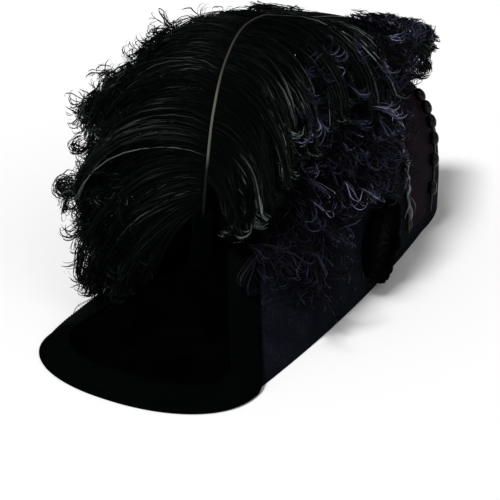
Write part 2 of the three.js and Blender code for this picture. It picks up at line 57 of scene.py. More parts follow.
# Crown: its rim from above, its wall, and the clear space between neighbouring pieces
REAR_TIP = 230.0
FRONT_TIP = -221.0
FRONT_DEPTH = 52.0
REAR_DEPTH = 108.0
END_ROUND = 2.2
HALF_WIDTH = 89.0
CORNER_HALF_WIDTH = 82.0
FELT = 2.5
GAP = 0.4
RIDGE_TOP = 141.0
# Dents of the blocked felt: depth, lengths that set their spacing, and the height over which they begin
DENT = {"depth": 0.5, "along": 23, "up": 17, "rows": 31, "begin": 40}
# A surface outset from the felt: the sloping front tip moves this many times as far, a low ridge moves less
TIP_SPREAD = 2.2
RIDGE_SPREAD = 0.7

crown_low, crown_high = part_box("crown")
HAT_ORIGIN = np.array([(crown_low.x + crown_high.x) / 2, crown_high.y - REAR_TIP * MM, 0.0])
HAT_MIDDLE = (0, 20, 30)

# Crown sections: place along the hat, ridge height, squareness of the arch
RIDGE, SQUARENESS = 1, 2
CROWN_SECTIONS = np.array([
    (-221, 0, 1.6), (-200, 10, 1.6), (-172, 21, 1.6), (-140, 33, 1.7), (-107, 47, 1.8), (-82, 66, 2.0),
    (-55, 95, 2.3), (-20, 122, 2.8), (25, 137, 3.3), (75, 141, 3.7), (125, 136, 3.6), (168, 120, 3.1),
    (203, 88, 2.6), (222, 48, 2.3), (230, 0, 2.2)], float)

# Front flap, and the ribbon round its edge with its ribs
FLAP_THICK = 2.0
FLAP_CORNER = -170.0
FLAP_TOP_Y = -84.0
FLAP_TOP_X = 34.0
FLAP_SPINE = FRONT_TIP + 70
RIBBON_WIDTH = 22.0
RIBBON_THICK = 1.2
RIBBON_WALL = 0.7 * RIBBON_THICK
RIB_PITCH = 1.9
RIB_HEIGHT = 0.22
# Rolled edges of the ribbon: height and share of its width, and how far a ridge also moves outwards
OUTER_ROLL, OUTER_ROLL_SHARE = 0.5, 0.09
INNER_ROLL, INNER_ROLL_SHARE = 0.3, 0.07
RIDGE_OUTWARDS = 0.4
# Lowest places of the flap and the ribbon
FLAP_LOWEST = 0.3
RIBBON_LOWEST = 0.2
UNDER_FRONT = (0, -150, -60)
# The flap's outline is evened out: step along it, and how many steps each way are averaged, and how narrowly
OUTLINE_STEP = 0.5
EVENING = 40
EVENING_SPREAD = 16

# Quill: (y, z) points in the middle plane, its radius at foot and end, and the depth of its groove
QUILL = np.array([
    (-103.2, 68), (-101.4, 86), (-95, 121), (-85, 159), (-69, 189), (-47, 206), (-18, 209), (16, 201),
    (60, 189), (110, 177), (160, 161), (196, 141)], float)
QUILL_FOOT = 1.15
QUILL_END = 0.45
QUILL_GROOVE = 0.22
# Barbs start this far off the quill
OFF_QUILL = 0.1

# Vanes: place along the quill, barb length, sweep to the rear, first and last slope of the barbs
LENGTH, SWEEP, RISE, FALL = 1, 2, 3, 4
LEFT_VANE = np.array([
    (0.10, 62, 0, -10, -98), (0.2, 98, 0, 6, -98), (0.34, 124, 6, 14, -94), (0.5, 130, 12, 14, -86),
    (0.7, 118, 18, 14, -72), (0.88, 102, 26, 14, -70), (0.98, 90, 36, 12, -74)], float)
RIGHT_VANE = np.array([
    (0.05, 150, -36, 2, -86), (0.12, 175, -26, 32, -84), (0.2, 178, -17, 46, -80), (0.34, 163, -7, 36, -78),
    (0.5, 137, 4, 20, -76), (0.7, 121, 16, 25, -68), (0.88, 102, 26, 24, -66), (0.98, 90, 36, 12, -74)],
    float)

# Under-plumes: place along the hat and tuft length
LEFT_UNDER = np.array([(-98, 84), (-80, 88), (-45, 70), (-18, 54), (20, 48), (60, 54)], float)
RIGHT_UNDER = np.array([(-88, 56), (-20, 72), (70, 72), (145, 60)], float)

# Two-row tables, y and the value there: lowest places of vane and flues, breadth of the plume, its top line
LEFT_VANE_LOWEST = ((-104, 36, 54, 64, 140), (30, 62, 114, 128, 136))
LEFT_LOWEST = ((-122, -104, -80, -65, -49, -32, 5, 23, 40, 56, 64, 140),
               (18, 22, 36, 54, 70, 80, 80, 84, 100, 122, 130, 138))
RIGHT_LOWEST = ((-100, 150), (18, 22))
LEFT_REACH = ((-100, 40, 60, 100, 150, 200), (110, 110, 106, 90, 66, 50))
RIGHT_REACH = ((-140, -60, 0, 200), (117, 117, 112, 108))
PLUME_TOP = ((-70, -47, -18, 16, 60, 110, 160, 196, 230), (203, 212, 212, 204, 190, 178, 162, 142, 120))
REAR_REACH = 218.0
# Strands past these limits are drawn back by a share. Each has limits of its own, nearer by up to a share of
# the breadth and two lengths, below the top line and before the rear end
PULL_BACK = 0.85
FULL_REACH = 1.03
LIMIT_SPREAD = np.array([0.16, 6.0, 16.0]).reshape(3, 1, 1)
ROOF_SHARE = 0.7

# Two-row tables, place along the quill and the value there: a factor on the barbs' tone that is painted light
# and shade, lighter on the near left vane and darker on the far right one near the quill's top; and the share
# of a left barb's length that is painted nearly black as shade under those above it
LEFT_PAINTED_LIGHT = ((0.0, 1.0), (1.28, 1.28))
RIGHT_PAINTED_SHADE = ((0.0, 0.28, 0.45, 1.0), (0.98, 0.98, 0.92, 0.95))
LEFT_PAINTED_SHADE_SHARE = ((0.1, 0.2, 0.42, 0.5, 0.56), (0.34, 0.42, 0.46, 0.25, 0.0))
NO_SHADE = ((0, 1), (0, 0))
SHADE_EDGE = 0.22
SHADE_LIGHT = 0.05
TONE_CONTRAST = 2.2

# Locks: how far their barbs mix and draw together, their least and greatest length, a barb's own shortening
LOCK_MIXING = 0.012
LOCK_DRAW = 0.78
LOCK_LENGTH = (0.7, 1.03)
BARB_SHORTER = 0.15
# Spread in degrees: rise, sweep and fall of the locks, and sweep, rise and fall of a barb in its lock
LOCK_SPREAD = np.array([[4.0], [5.0], [8.0]])
BARB_SPREAD = np.array([[3.5], [3.5], [7.0]])
EARLY_BEND = 0.8
PLUME_DEPTH = 13.0
DEPTH_RANGE = (-1, 0.15)
# Wave of the barbs: radians along a barb, sway to the rear and upwards
WAVE_RUN = 8
WAVE_SWAY = 2.6
WAVE_LIFT = 1.6
CURL_ROOM = 8

# Barbs and flues: the way a lock or tuft leans, a strand's spread about it, scatter of its turn and roll
BARB = {"lean": (0.3, 0, 0.4), "stray": 0.14, "turns": (0.75, 1.1), "roll": 0.8}
# Curled ends: straight share of a barb, least and greatest radius, least and greatest turn in degrees
FAR_CURLS = (0.78, 3.5, 8.0, 150, 400)
NEAR_CURLS = (0.88, 4.0, 9.0, 20, 130)
CURL_TIGHTENING = 0.4
CURL_DRIFT = 0.5
LEAN_SPREAD = 0.8
RADIUS_SCATTER = (0.75, 1.25)

# Two-row tables, share of a strand and its width there, and the least and greatest scatter of the width
STRAND_PLACES = (0, 0.3, 0.75, 1)
BARB_WIDTH = (STRAND_PLACES, (0.45, 0.75, 0.85, 0.35))
FLUE_WIDTH = (STRAND_PLACES, (0.5, 0.85, 0.75, 0.15))
BARB_SCATTER = (0.5, 1.3)
FLUE_SCATTER = (0.45, 1.25)

# Tufts on the crown's shoulders: place round it, how far they stand off, spread of rise and sweep in
# degrees, spread and droop of their bend, length as a share of the under-plume's
SHOULDER_TUFT = {"turn": (0.2, 0.8), "off": (14, 0, 0), "rise": 30, "sweep": 40, "bend": 0.4, "droop": -1.3,
                 "length": (0.16, 0.52)}
# Tufts over a vane: locks, straight share and last place of their barbs, the way they are lifted off, spread
# and outward turn of their heading, spread and droop of their bend, length
FLANK_TUFT = {"locks": 40, "straight": 0.88, "last": 0.93, "lift": (0.55, -0.3, 0.78), "stray": 0.45,
              "out": (0.2, 0, 0), "bend": 0.5, "droop": -0.6, "length": (5, 16)}
# Flues of a tuft: spread of their roots and directions, share of the tuft's length, radius and turn of their
# curls, least height over the lowest place, spread of the ends there, and the least share kept of a flue
FLUE = {"root": 1.0, "spread": 0.17, "length": (0.7, 1.0), "radius": (4.0, 9.0), "turn": (50, 210),
        "over": 3, "ends": 6, "least": 0.35, "lean": (0.4, 0, 0.2), "stray": 0.22, "turns": (0.7, 1.15),
        "roll": 0.6}
# Flues are darker low on the hat: heights, and shares of the tone there
LOW_FLUES = ((40, 110), (0.7, 1.0))

BARB_STEPS = 10
CURL_STEPS = 9
FLUES_PER_TUFT = 6
FLUE_STEPS = 4
FLUE_CURL_STEPS = 6
OVER_FLAP = 5.0
LEAST_HEIGHT = 1.0

# Socket: its axis and the height that it leans from, its flutes and the radius up to which there are none
SOCKET = {"y": -106.0, "base": 40.0, "lean": 0.1, "flute": 1.1, "flutes": 14, "plain": 5.5, "clear": 0.2}
# Socket's outline: height and radius, from its foot over the rolled top into the bore
SOCKET_LIP = 84.0
SOCKET_PROFILE = np.array([
    (44, 8.2), (50, 8.3), (60, 8.2), (75, 8.0), (SOCKET_LIP, 8.1), (86, 7.6), (86.6, 6.4), (86, 2.2),
    (80, 1.6), (70, 1.6)])
# Rosette: its middle, radius and pleats, how far its forward edge stands out, its face, depth of its folds
ROSETTE = {"y": 14.0, "z": 37.0, "radius": 33.0, "pleats": 22, "tilt": 8.0, "front": 7.0, "fold": 2.6}
# Rosette's outline: distance from the felt and radius, from its back over the edge to the middle of its front
ROSETTE_PROFILE = np.array([
    (0.4, 0.0), (0.4, ROSETTE["radius"]), (3.6, ROSETTE["radius"]), (5.2, 29), (6.4, 20),
    (ROSETTE["front"], 10), (6.0, 0.0)])
# Button: radius, seat over the rosette, bulge outwards and inwards, gathers of its cloth
BUTTON = {"radius": 8.0, "seat": 0.6, "front": 4.2, "back": 0.8, "gathers": 9, "gather": 0.12}
# Panel: its edges and their bow, its foot and top as turns round the crown, its wall and swells; its size
PANEL = {"front": 70.0, "rear": 128.0, "bow": 8.0, "foot": 0.985, "top": 0.44, "thick": 1.8,
         "swell": 1.1, "quilting": 0.25}
PANEL_SIZE = (60, 110)
EDGE_POINTS = 24
PIPING_RADIUS = 1.2
BEADS = {"count": 6, "radius": 4.2, "length": 6.2, "thread": 1.1}
# Hackles: how far before the panel and off the felt they start, their blades; and their length up the panel
HACKLES = {"count": 26, "before": 4.5, "lift": 1.2, "thick": 0.35, "lowest": 4.0, "half": (1.5, 2.4),
           "cup": 0.5, "arch": 3.0}
HACKLE_REACH = ((0, 0.3, 1), (30, 19, 16))

# Lights: name, where it comes from, breadth in degrees, strength; and the strength of the surround
LIGHTS = (("key", (-0.2, -0.75, 1.7), 16, 2.6), ("fill", (1.4, -0.7, 1.1), 35, 0.45))
SURROUND = 0.3
# Floor: its size in metres, and how far it lies under the rim
FLOOR_SIZE = 40
FLOOR_DROP = 0.2
# Camera fitted to the rim's outline: degrees round from the front and up, metres, the point it looks at, its
# focal length in pixels of the square picture, and the sensor that the length is given for
CAMERA = {"azimuth": 28.95, "elevation": 25.92, "distance": 1.1, "aim": (-27.51, 17.1, 0),
          "focal_px": 1338.93, "picture_px": 500, "sensor": 36}

SEED = 41
rng = np.random.default_rng(SEED)


def smooth_column(table, column, at):
    """A table's column at any place, by cubic curves that pass through its rows."""
    xs, ys = table[:, 0], table[:, column]
    slopes = np.gradient(ys, xs)
    at = np.clip(np.asarray(at, float), xs[0], xs[-1])
    i = np.clip(np.searchsorted(xs, at, side="right") - 1, 0, len(xs) - 2)
    h = xs[i + 1] - xs[i]
    t = (at - xs[i]) / h
    return ((1 + 2 * t) * (1 - t) ** 2 * ys[i] + t * (1 - t) ** 2 * h * slopes[i]
            + t * t * (3 - 2 * t) * ys[i + 1] + t * t * (t - 1) * h * slopes[i + 1])


def run_along(points):
    """The length along a line of points, up to each of them."""
    return np.concatenate([[0], np.cumsum(np.hypot.reduce(np.diff(points, axis=0), axis=1))])


def line_at(points, length, at):
    """The columns of a line of points, at places on the length along it."""
    return [np.interp(at, length, column) for column in points.T]


def unit(vectors):
    """Vectors of length one."""
    return vectors / np.maximum(np.linalg.norm(vectors, axis=-1, keepdims=True), TINY)


def smooth_line(points, share):
    """Places and directions on the smooth line through points, at shares of its length."""
    knots = run_along(points)
    table = np.column_stack([knots, points])

    def place(at):
        return np.stack([smooth_column(table, k, at) for k in range(1, table.shape[1])], -1)
    at = share * knots[-1]
    return place(at), unit(place(at + LINE_STEP) - place(at - LINE_STEP))


def ring(middle, across, up, radius, angle):
    """Points round the middle of a tube, in the plane of across and up."""
    return middle + across * (radius * np.cos(angle))[:, None] + up * (radius * np.sin(angle))[:, None]


def rim_half_width(y):
    """Half the width of the rim at y."""
    y = np.asarray(y, float)
    front, rear = FRONT_TIP + FRONT_DEPTH, REAR_TIP - REAR_DEPTH
    past = np.clip(np.maximum((front - y) / FRONT_DEPTH, (y - rear) / REAR_DEPTH), 0, 1)
    share = np.clip(2 * (y - front) / (rear - front) - 1, -1, 1)
    middle = HALF_WIDTH - (HALF_WIDTH - CORNER_HALF_WIDTH) * share ** 2
    end = CORNER_HALF_WIDTH * (1 - past ** END_ROUND) ** (1 / END_ROUND)
    return np.where(past > 0, end, middle)


def section(y, outset):
    """Half width, ridge height and squareness of the crown's section on the surface outset from the felt."""
    front, rear = FRONT_TIP - TIP_SPREAD * outset, REAR_TIP + outset
    share = np.clip((np.asarray(y, float) - front) / (rear - front), 0, 1)
    felt = FRONT_TIP + share * (REAR_TIP - FRONT_TIP)
    ridge = np.maximum(smooth_column(CROWN_SECTIONS, RIDGE, felt), 0)
    half_width = rim_half_width(felt) * (1 + outset / HALF_WIDTH)
    square = smooth_column(CROWN_SECTIONS, SQUARENESS, felt)
    return half_width, ridge + outset * (ridge / RIDGE_TOP) ** RIDGE_SPREAD, square


def crown_point(y, turn, outset):
    """Points of the crown: turn is -1 at the right rim, 0 on the ridge and 1 at the left rim."""
    y, turn = np.broadcast_arrays(np.asarray(y, float), np.asarray(turn, float))
    half_width, ridge, square = section(y, outset)
    angle = turn * math.pi / 2
    x = half_width * np.sign(angle) * np.abs(np.sin(angle)) ** (2 / square)
    z = ridge * np.clip(np.cos(angle), 0, 1) ** (2 / square)
    return np.stack([x, y, z], -1)


def crown_height(x, y, outset):
    """Height of the crown over a point of the floor."""
    half_width, ridge, square = section(y, outset)
    inside = np.clip(np.abs(x) / np.maximum(half_width, TINY), 0, 1)
    return ridge * (1 - inside ** square) ** (1 / square)


def in_scene(points):
    """Millimetres in the hat's frame to metres in the scene."""
    return np.asarray(points, float) * MM + HAT_ORIGIN


def finish_piece(piece, nodes, material):
    """A finished piece rides the hat, stands for its CAD nodes and wears its material."""
    piece.data.materials.clear()
    piece.data.materials.append(material)
    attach(piece, "root")
    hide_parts(*nodes)
    return piece


def edit_all(operator, **settings):
    """An edit-mode operator on the whole of the active piece."""
    bpy.ops.object.mode_set(mode="EDIT")
    bpy.ops.mesh.select_all(action="SELECT")
    operator(**settings)
    bpy.ops.object.mode_set(mode="OBJECT")


def shaped_grid(name, rows, columns, place, thickness=0.0, inside=HAT_MIDDLE):
    """A grid whose corners are moved to place(u, v), welded, faced away from inside, and thickened."""
    bpy.ops.object.select_all(action="DESELECT")
    bpy.ops.mesh.primitive_grid_add(x_subdivisions=columns, y_subdivisions=rows, size=2, location=(0, 0, 0))
    piece = bpy.context.object
    piece.name = piece.data.name = name
    flat = np.empty(len(piece.data.vertices) * 3)
    piece.data.vertices.foreach_get("co", flat)
    flat = flat.reshape(-1, 3)
    points = in_scene(place((flat[:, 0] + 1) / 2, (flat[:, 1] + 1) / 2))
    piece.data.vertices.foreach_set("co", points.ravel())
    piece.data.update()
    edit_all(bpy.ops.mesh.remove_doubles, threshold=0.01 * MM)
    edit_all(bpy.ops.mesh.normals_make_consistent, inside=False)
    centre = Vector(in_scene(inside))
    facing = sum(p.normal.dot(p.center - centre) * p.area for p in piece.data.polygons)
    if facing < 0:
        edit_all(bpy.ops.mesh.flip_normals)
    if thickness:
        wall = piece.modifiers.new("wall", "SOLIDIFY")
        wall.thickness = thickness * MM
        wall.offset = -1
        bpy.ops.object.modifier_apply(modifier=wall.name)
    bpy.ops.object.shade_smooth()
    return piece


def keep_above(piece, height):
    """Corners that reach lower than height, in millimetres, are raised to it."""
    for corner in piece.data.vertices:
        corner.co.z = max(corner.co.z, height * MM)


def joined(pieces, name):
    """Several meshes joined into the first."""
    bpy.ops.object.select_all(action="DESELECT")
    for piece in pieces:
        piece.select_set(True)
    bpy.context.view_layer.objects.active = pieces[0]
    bpy.ops.object.join()
    pieces[0].name = pieces[0].data.name = name
    return pieces[0]


# Materials

# The Mix node's colour sockets
MIX_A, MIX_B, MIX_RESULT = 6, 7, 2


def linear(code):
    """A linear colour from an sRGB hex value."""
    parts = [int(code[i:i + 2], 16) / 255 for i in (1, 3, 5)]
    return (*[p / 12.92 if p <= 0.04045 else ((p + 0.055) / 1.055) ** 2.4 for p in parts], 1.0)


def add_node(tree, kind, links=None, stops=(), **settings):
    """A node: settings that name an input set that input, links feed inputs, stops are a ramp's colours."""
    made = tree.nodes.new(kind)
    for name, value in settings.items():
        if hasattr(made, name):
            setattr(made, name, value)
        else:
            made.inputs[name.replace("_", " ")].default_value = value
    for name, source in (links or {}).items():
        tree.links.new(source, made.inputs[name])
    for i, (place, code) in enumerate(stops):
        elements = made.color_ramp.elements
        stop = elements[i] if i < len(elements) else elements.new(place)
        stop.position = place
        stop.color = linear(code)
    return made


def new_material(name):
    """An empty node material and its nodes."""
    material = bpy.data.materials.new(name)
    material.use_nodes = True
    return material, material.node_tree


def set_surface(material, gleam, **inputs):
    """The shader's gleam, and for each input that is named a value or another node's output."""
    shader = material.node_tree.nodes["Principled BSDF"]
    shader.inputs["Specular IOR Level"].default_value = gleam
    for name, source in inputs.items():
        socket = shader.inputs[name.replace("_", " ")]
        if isinstance(source, bpy.types.NodeSocket):
            material.node_tree.links.new(source, socket)
        else:
            socket.default_value = source
    return material


def wool_felt():
    """Pressed wool felt: matt navy black, clouded where the nap lies differently, with fine fibres."""
    material, tree = new_material("wool_felt")
    place = add_node(tree, "ShaderNodeTexCoord").outputs["Object"]
    cloud = add_node(tree, "ShaderNodeTexNoise", {"Vector": place}, Scale=1 / (22 * MM), Detail=6.0,
                     Roughness=0.6)
    fibre = add_node(tree, "ShaderNodeTexNoise", {"Vector": place}, Scale=1 / (1.3 * MM), Detail=4.0,
                     Roughness=0.7)
    both = add_node(tree, "ShaderNodeMix", {"A": cloud.outputs["Fac"], "B": fibre.outputs["Fac"]}, Factor=0.6)
    colour = add_node(tree, "ShaderNodeValToRGB", {"Fac": both.outputs["Result"]}, stops=[
        (0.33, "#05060a"), (0.5, "#0b0d13"), (0.68, "#181c25")]).outputs["Color"]
    bump = add_node(tree, "ShaderNodeBump", {"Height": fibre.outputs["Fac"]}, Strength=0.5,
                    Distance=0.35 * MM)
    return set_surface(material, 0.02, Base_Color=colour, Roughness=0.95, Normal=bump.outputs["Normal"])


def cotton_velvet():
    """Black cotton velvet: nearly no light comes back, apart from a soft cloud where the pile is brushed."""
    material, tree = new_material("cotton_velvet")
    place = add_node(tree, "ShaderNodeTexCoord").outputs["Object"]
    brushed = add_node(tree, "ShaderNodeTexNoise", {"Vector": place}, Scale=1 / (30 * MM), Detail=5.0,
                       Distortion=0.6)
    colour = add_node(tree, "ShaderNodeValToRGB", {"Fac": brushed.outputs["Fac"]}, stops=[
        (0.35, "#000000"), (0.7, "#020202")]).outputs["Color"]
    pile = add_node(tree, "ShaderNodeTexNoise", {"Vector": place}, Scale=1 / (0.9 * MM), Detail=3.0)
    bump = add_node(tree, "ShaderNodeBump", {"Height": pile.outputs["Fac"]}, Strength=0.4,
                    Distance=0.25 * MM)
    return set_surface(material, 0.004, Base_Color=colour, Roughness=0.9, Normal=bump.outputs["Normal"])


def grosgrain_ribbon():
    """Black grosgrain ribbon: thread that is a little lighter on top, with a dull gleam."""
    material, tree = new_material("grosgrain_ribbon")
    place = add_node(tree, "ShaderNodeTexCoord").outputs["Object"]
    thread = add_node(tree, "ShaderNodeTexNoise", {"Vector": place}, Scale=1 / (1.1 * MM), Detail=4.0,
                      Roughness=0.7)
    colour = add_node(tree, "ShaderNodeValToRGB", {"Fac": thread.outputs["Fac"]}, stops=[
        (0.3, "#000000"), (0.55, "#010202"), (0.75, "#040505")]).outputs["Color"]
    bump = add_node(tree, "ShaderNodeBump", {"Height": thread.outputs["Fac"]}, Strength=0.5,
                    Distance=0.2 * MM)
    return set_surface(material, 0.01, Base_Color=colour, Roughness=0.6, Normal=bump.outputs["Normal"])


def ostrich_barb(name, tones_and_painted_light, painted_shade, gleam):
    """Dyed barbs: tones up to a painted highlight, painted nearly black where others shade them, smoother
    where lit.
    """
    material, tree = new_material(name)
    strand = add_node(tree, "ShaderNodeAttribute", attribute_name="strand").outputs["Fac"]
    light = add_node(tree, "ShaderNodeAttribute", attribute_name="light").outputs["Fac"]
    tone = add_node(tree, "ShaderNodeValToRGB", {"Fac": strand}, stops=tones_and_painted_light).outputs["Color"]
    colour = add_node(tree, "ShaderNodeMix", {"Factor": light}, data_type="RGBA")
    colour.inputs[MIX_A].default_value = linear(painted_shade)
    tree.links.new(tone, colour.inputs[MIX_B])
    dull = add_node(tree, "ShaderNodeMapRange", {"Value": light}, To_Min=1.0, To_Max=0.4)
    return set_surface(material, gleam, Base_Color=colour.outputs[MIX_RESULT],
                       Roughness=dull.outputs["Result"])


def quill_horn():
    """Feather quill: black horn at the foot, a smoother painted grey highlight over it, and dull brown black
    on top.
    """
    material, tree = new_material("quill_horn")
    place = add_node(tree, "ShaderNodeTexCoord").outputs["Object"]
    height = add_node(tree, "ShaderNodeSeparateXYZ", {"Vector": place}).outputs["Z"]
    span = add_node(tree, "ShaderNodeMapRange", {"Value": height}, From_Min=80 * MM, From_Max=216 * MM)
    # The grey middle stops are a painted highlight; the black foot and brown black top are the quill's own
    # colour.
    colour = add_node(tree, "ShaderNodeValToRGB", {"Fac": span.outputs["Result"]}, stops=[
        (0.0, "#020202"), (0.28, "#060605"), (0.36, "#54534e"), (0.64, "#5c5b55"), (0.78, "#2e2b25"),
        (1.0, "#1e1b16")]).outputs["Color"]
    dull = add_node(tree, "ShaderNodeValToRGB", {"Fac": span.outputs["Result"]}, stops=[
        (0.0, "#ffffff"), (0.26, "#e8e8e8"), (0.34, "#6c6c6c"), (0.66, "#6c6c6c"), (0.8, "#c8c8c8"),
        (1.0, "#d8d8d8")]).outputs["Color"]
    grain = add_node(tree, "ShaderNodeTexNoise", {"Vector": place}, Scale=1 / (1.5 * MM), Detail=3.0)
    bump = add_node(tree, "ShaderNodeBump", {"Height": grain.outputs["Fac"]}, Strength=0.15,
                    Distance=0.1 * MM)
    return set_surface(material, 0.2, Base_Color=colour, Roughness=dull, Normal=bump.outputs["Normal"])


def plum_cloth():
    """Plum wool cloth: a plain weave, drawn at twice its real thread so that it shows, in two near tones."""
    material, tree = new_material("plum_cloth")
    sheet = add_node(tree, "ShaderNodeUVMap", uv_map="UVMap").outputs["UV"]
    thread = 1.4
    threads = (PANEL_SIZE[0] / thread, PANEL_SIZE[1] / thread, 1)
    scaled = add_node(tree, "ShaderNodeMapping", {"Vector": sheet}, Scale=threads)
    weave = add_node(tree, "ShaderNodeTexChecker", {"Vector": scaled.outputs["Vector"]}, Scale=1.0)
    weave.inputs["Color1"].default_value = linear("#100810")
    weave.inputs["Color2"].default_value = linear("#1d111b")
    place = add_node(tree, "ShaderNodeTexCoord").outputs["Object"]
    worn = add_node(tree, "ShaderNodeTexNoise", {"Vector": place}, Scale=1 / (14 * MM), Detail=5.0)
    tone = add_node(tree, "ShaderNodeValToRGB", {"Fac": worn.outputs["Fac"]}, stops=[
        (0.3, "#9a9a9a"), (0.7, "#ffffff")]).outputs["Color"]
    colour = add_node(tree, "ShaderNodeMix", data_type="RGBA", blend_type="MULTIPLY")
    colour.inputs["Factor"].default_value = 1.0
    tree.links.new(weave.outputs["Color"], colour.inputs[MIX_A])
    tree.links.new(tone, colour.inputs[MIX_B])
    bump = add_node(tree, "ShaderNodeBump", {"Height": weave.outputs["Fac"]}, Strength=0.3, Distance=0.2 * MM)
    return set_surface(material, 0.02, Base_Color=colour.outputs[MIX_RESULT], Roughness=0.8,
                       Normal=bump.outputs["Normal"])


def twisted_cord():
    """Tan twisted cord: oblique strands of light and dark thread."""
    material, tree = new_material("twisted_cord")
    place = add_node(tree, "ShaderNodeTexCoord").outputs["Object"]
    strands = add_node(tree, "ShaderNodeTexWave", {"Vector": place}, bands_direction="DIAGONAL",
                       Scale=1 / (5 * MM))
    colour = add_node(tree, "ShaderNodeValToRGB", {"Fac": strands.outputs["Fac"]}, stops=[
        (0.2, "#1d160d"), (0.8, "#4a3a24")]).outputs["Color"]
    return set_surface(material, 0.2, Base_Color=colour, Roughness=0.6)


def jet_bead():
    """Polished jet beads: deep black with sharp small highlights and faint smears."""
    material, tree = new_material("jet_bead")
    place = add_node(tree, "ShaderNodeTexCoord").outputs["Object"]
    smear = add_node(tree, "ShaderNodeTexNoise", {"Vector": place}, Scale=1 / (4 * MM), Detail=3.0)
    rough = add_node(tree, "ShaderNodeMapRange", {"Value": smear.outputs["Fac"]}, To_Min=0.12, To_Max=0.32)
    return set_surface(material, 0.14, Base_Color=linear("#030303"), Roughness=rough.outputs["Result"])


def pale_floor():
    """White paper sweep: even and matt."""
    material, _ = new_material("paper_sweep")
    return set_surface(material, 0.1, Base_Color=linear("#f4f4f4"), Roughness=0.9)


FELT_LOOK = wool_felt()
VELVET_LOOK = cotton_velvet()
RIBBON_LOOK = grosgrain_ribbon()
# Feather tone stops: the top one of each is a painted highlight for the gleam on lit strands, the lowest barb
# and flue stops are painted shadow, and the colour after the stops is the painted shade.
BARB_LOOK = ostrich_barb("ostrich_barb_green_black", [
    (0.0, "#020403"), (0.45, "#060a08"), (0.75, "#161d1a"), (1.0, "#6a7570")], "#030605", 0.045)
FLUE_LOOK = ostrich_barb("ostrich_flue_violet_black", [
    (0.0, "#030305"), (0.35, "#0d0d15"), (0.7, "#2c2c3e"), (1.0, "#9696b6")], "#020203", 0.05)
HACKLE_LOOK = ostrich_barb("cock_hackle_black", [
    (0.0, "#0a0a0d"), (0.55, "#1c1d24"), (1.0, "#7d8494")], "#020203", 0.2)
QUILL_LOOK = quill_horn()
PLUM_LOOK = plum_cloth()
CORD_LOOK = twisted_cord()
BEAD_LOOK = jet_bead()


# Crown, flap and ribbon


def tip_to_tip(share, outset):
    """Places from the front tip to the rear tip, closer together at both ends."""
    front, rear = FRONT_TIP - TIP_SPREAD * outset, REAR_TIP + outset
    return front + (1 - np.cos(math.pi * share)) / 2 * (rear - front)


def felt_crown():
    """The hollow felt shell, a little uneven as blocked felt is."""
    def outer(u, v):
        points = crown_point(tip_to_tip(u, 0), 2 * v - 1, 0)
        x, y, z = points.T
        dent = DENT["depth"] * np.sin(y / DENT["along"] + z / DENT["up"]) * np.sin(z / DENT["rows"] + 1)
        points[:, 0] -= np.sign(x) * np.abs(dent) * np.clip(z / DENT["begin"], 0, 1)
        return points
    piece = shaped_grid("crown_felt", 72, 100, outer, thickness=FELT)
    keep_above(piece, 0.0)
    return finish_piece(piece, ["crown"], FELT_LOOK)


def evened(line):
    """A line of numbers with its corners rounded: each is averaged with those beside it."""
    before = line[0] + (line[0] - line[EVENING:0:-1])
    after = line[-1] + (line[-1] - line[-2:-EVENING - 2:-1])
    spread = np.exp(-(np.arange(-EVENING, EVENING + 1) / EVENING_SPREAD) ** 2)
    return np.convolve(np.concatenate([before, line, after]), spread / spread.sum(), mode="valid")


def flap_outline(outset, fine=1600):
    """The flap's outline from above, and the length along it, from its right top over the tip to its left."""
    tip = FRONT_TIP - TIP_SPREAD * outset
    rim_y = tip + (FLAP_CORNER - tip) * (1 - np.cos(np.linspace(0, math.pi / 2, fine)))
    climb = np.linspace(0, 1, fine)[1:]
    side_y = FLAP_CORNER + (FLAP_TOP_Y - FLAP_CORNER) * climb
    side_x = section(FLAP_CORNER, outset)[0] * (1 - climb) + FLAP_TOP_X * climb
    x = np.concatenate([section(rim_y, outset)[0], side_x])
    y = np.concatenate([rim_y, side_y])
    x, y = np.concatenate([-x[:0:-1], x]), np.concatenate([y[:0:-1], y])
    cornered = np.column_stack([x, y])
    length = run_along(cornered)
    even = np.arange(0, length[-1], OUTLINE_STEP)
    outline = np.column_stack([evened(column) for column in line_at(cornered, length, even)])
    return outline, run_along(outline)


def over_crown(x, y, outset):
    """Points on the surface outset from the felt, over places of the floor."""
    return np.stack([x, y, np.maximum(crown_height(x, y, outset), GAP)], -1)


def front_flap():
    """The velvet tongue, from its outline to its middle line."""
    outset = GAP + FLAP_THICK
    outline, length = flap_outline(outset)

    def tongue(u, v):
        x, y = line_at(outline, length, u * length[-1])
        spine = FLAP_SPINE + (FLAP_TOP_Y - FLAP_SPINE) * np.abs(2 * u - 1)
        return over_crown(x * (1 - v), y + (spine - y) * v, outset)
    piece = shaped_grid("flap_velvet", 40, 120, tongue, thickness=FLAP_THICK, inside=UNDER_FRONT)
    keep_above(piece, FLAP_LOWEST)
    return finish_piece(piece, ["front_flap"], VELVET_LOOK)


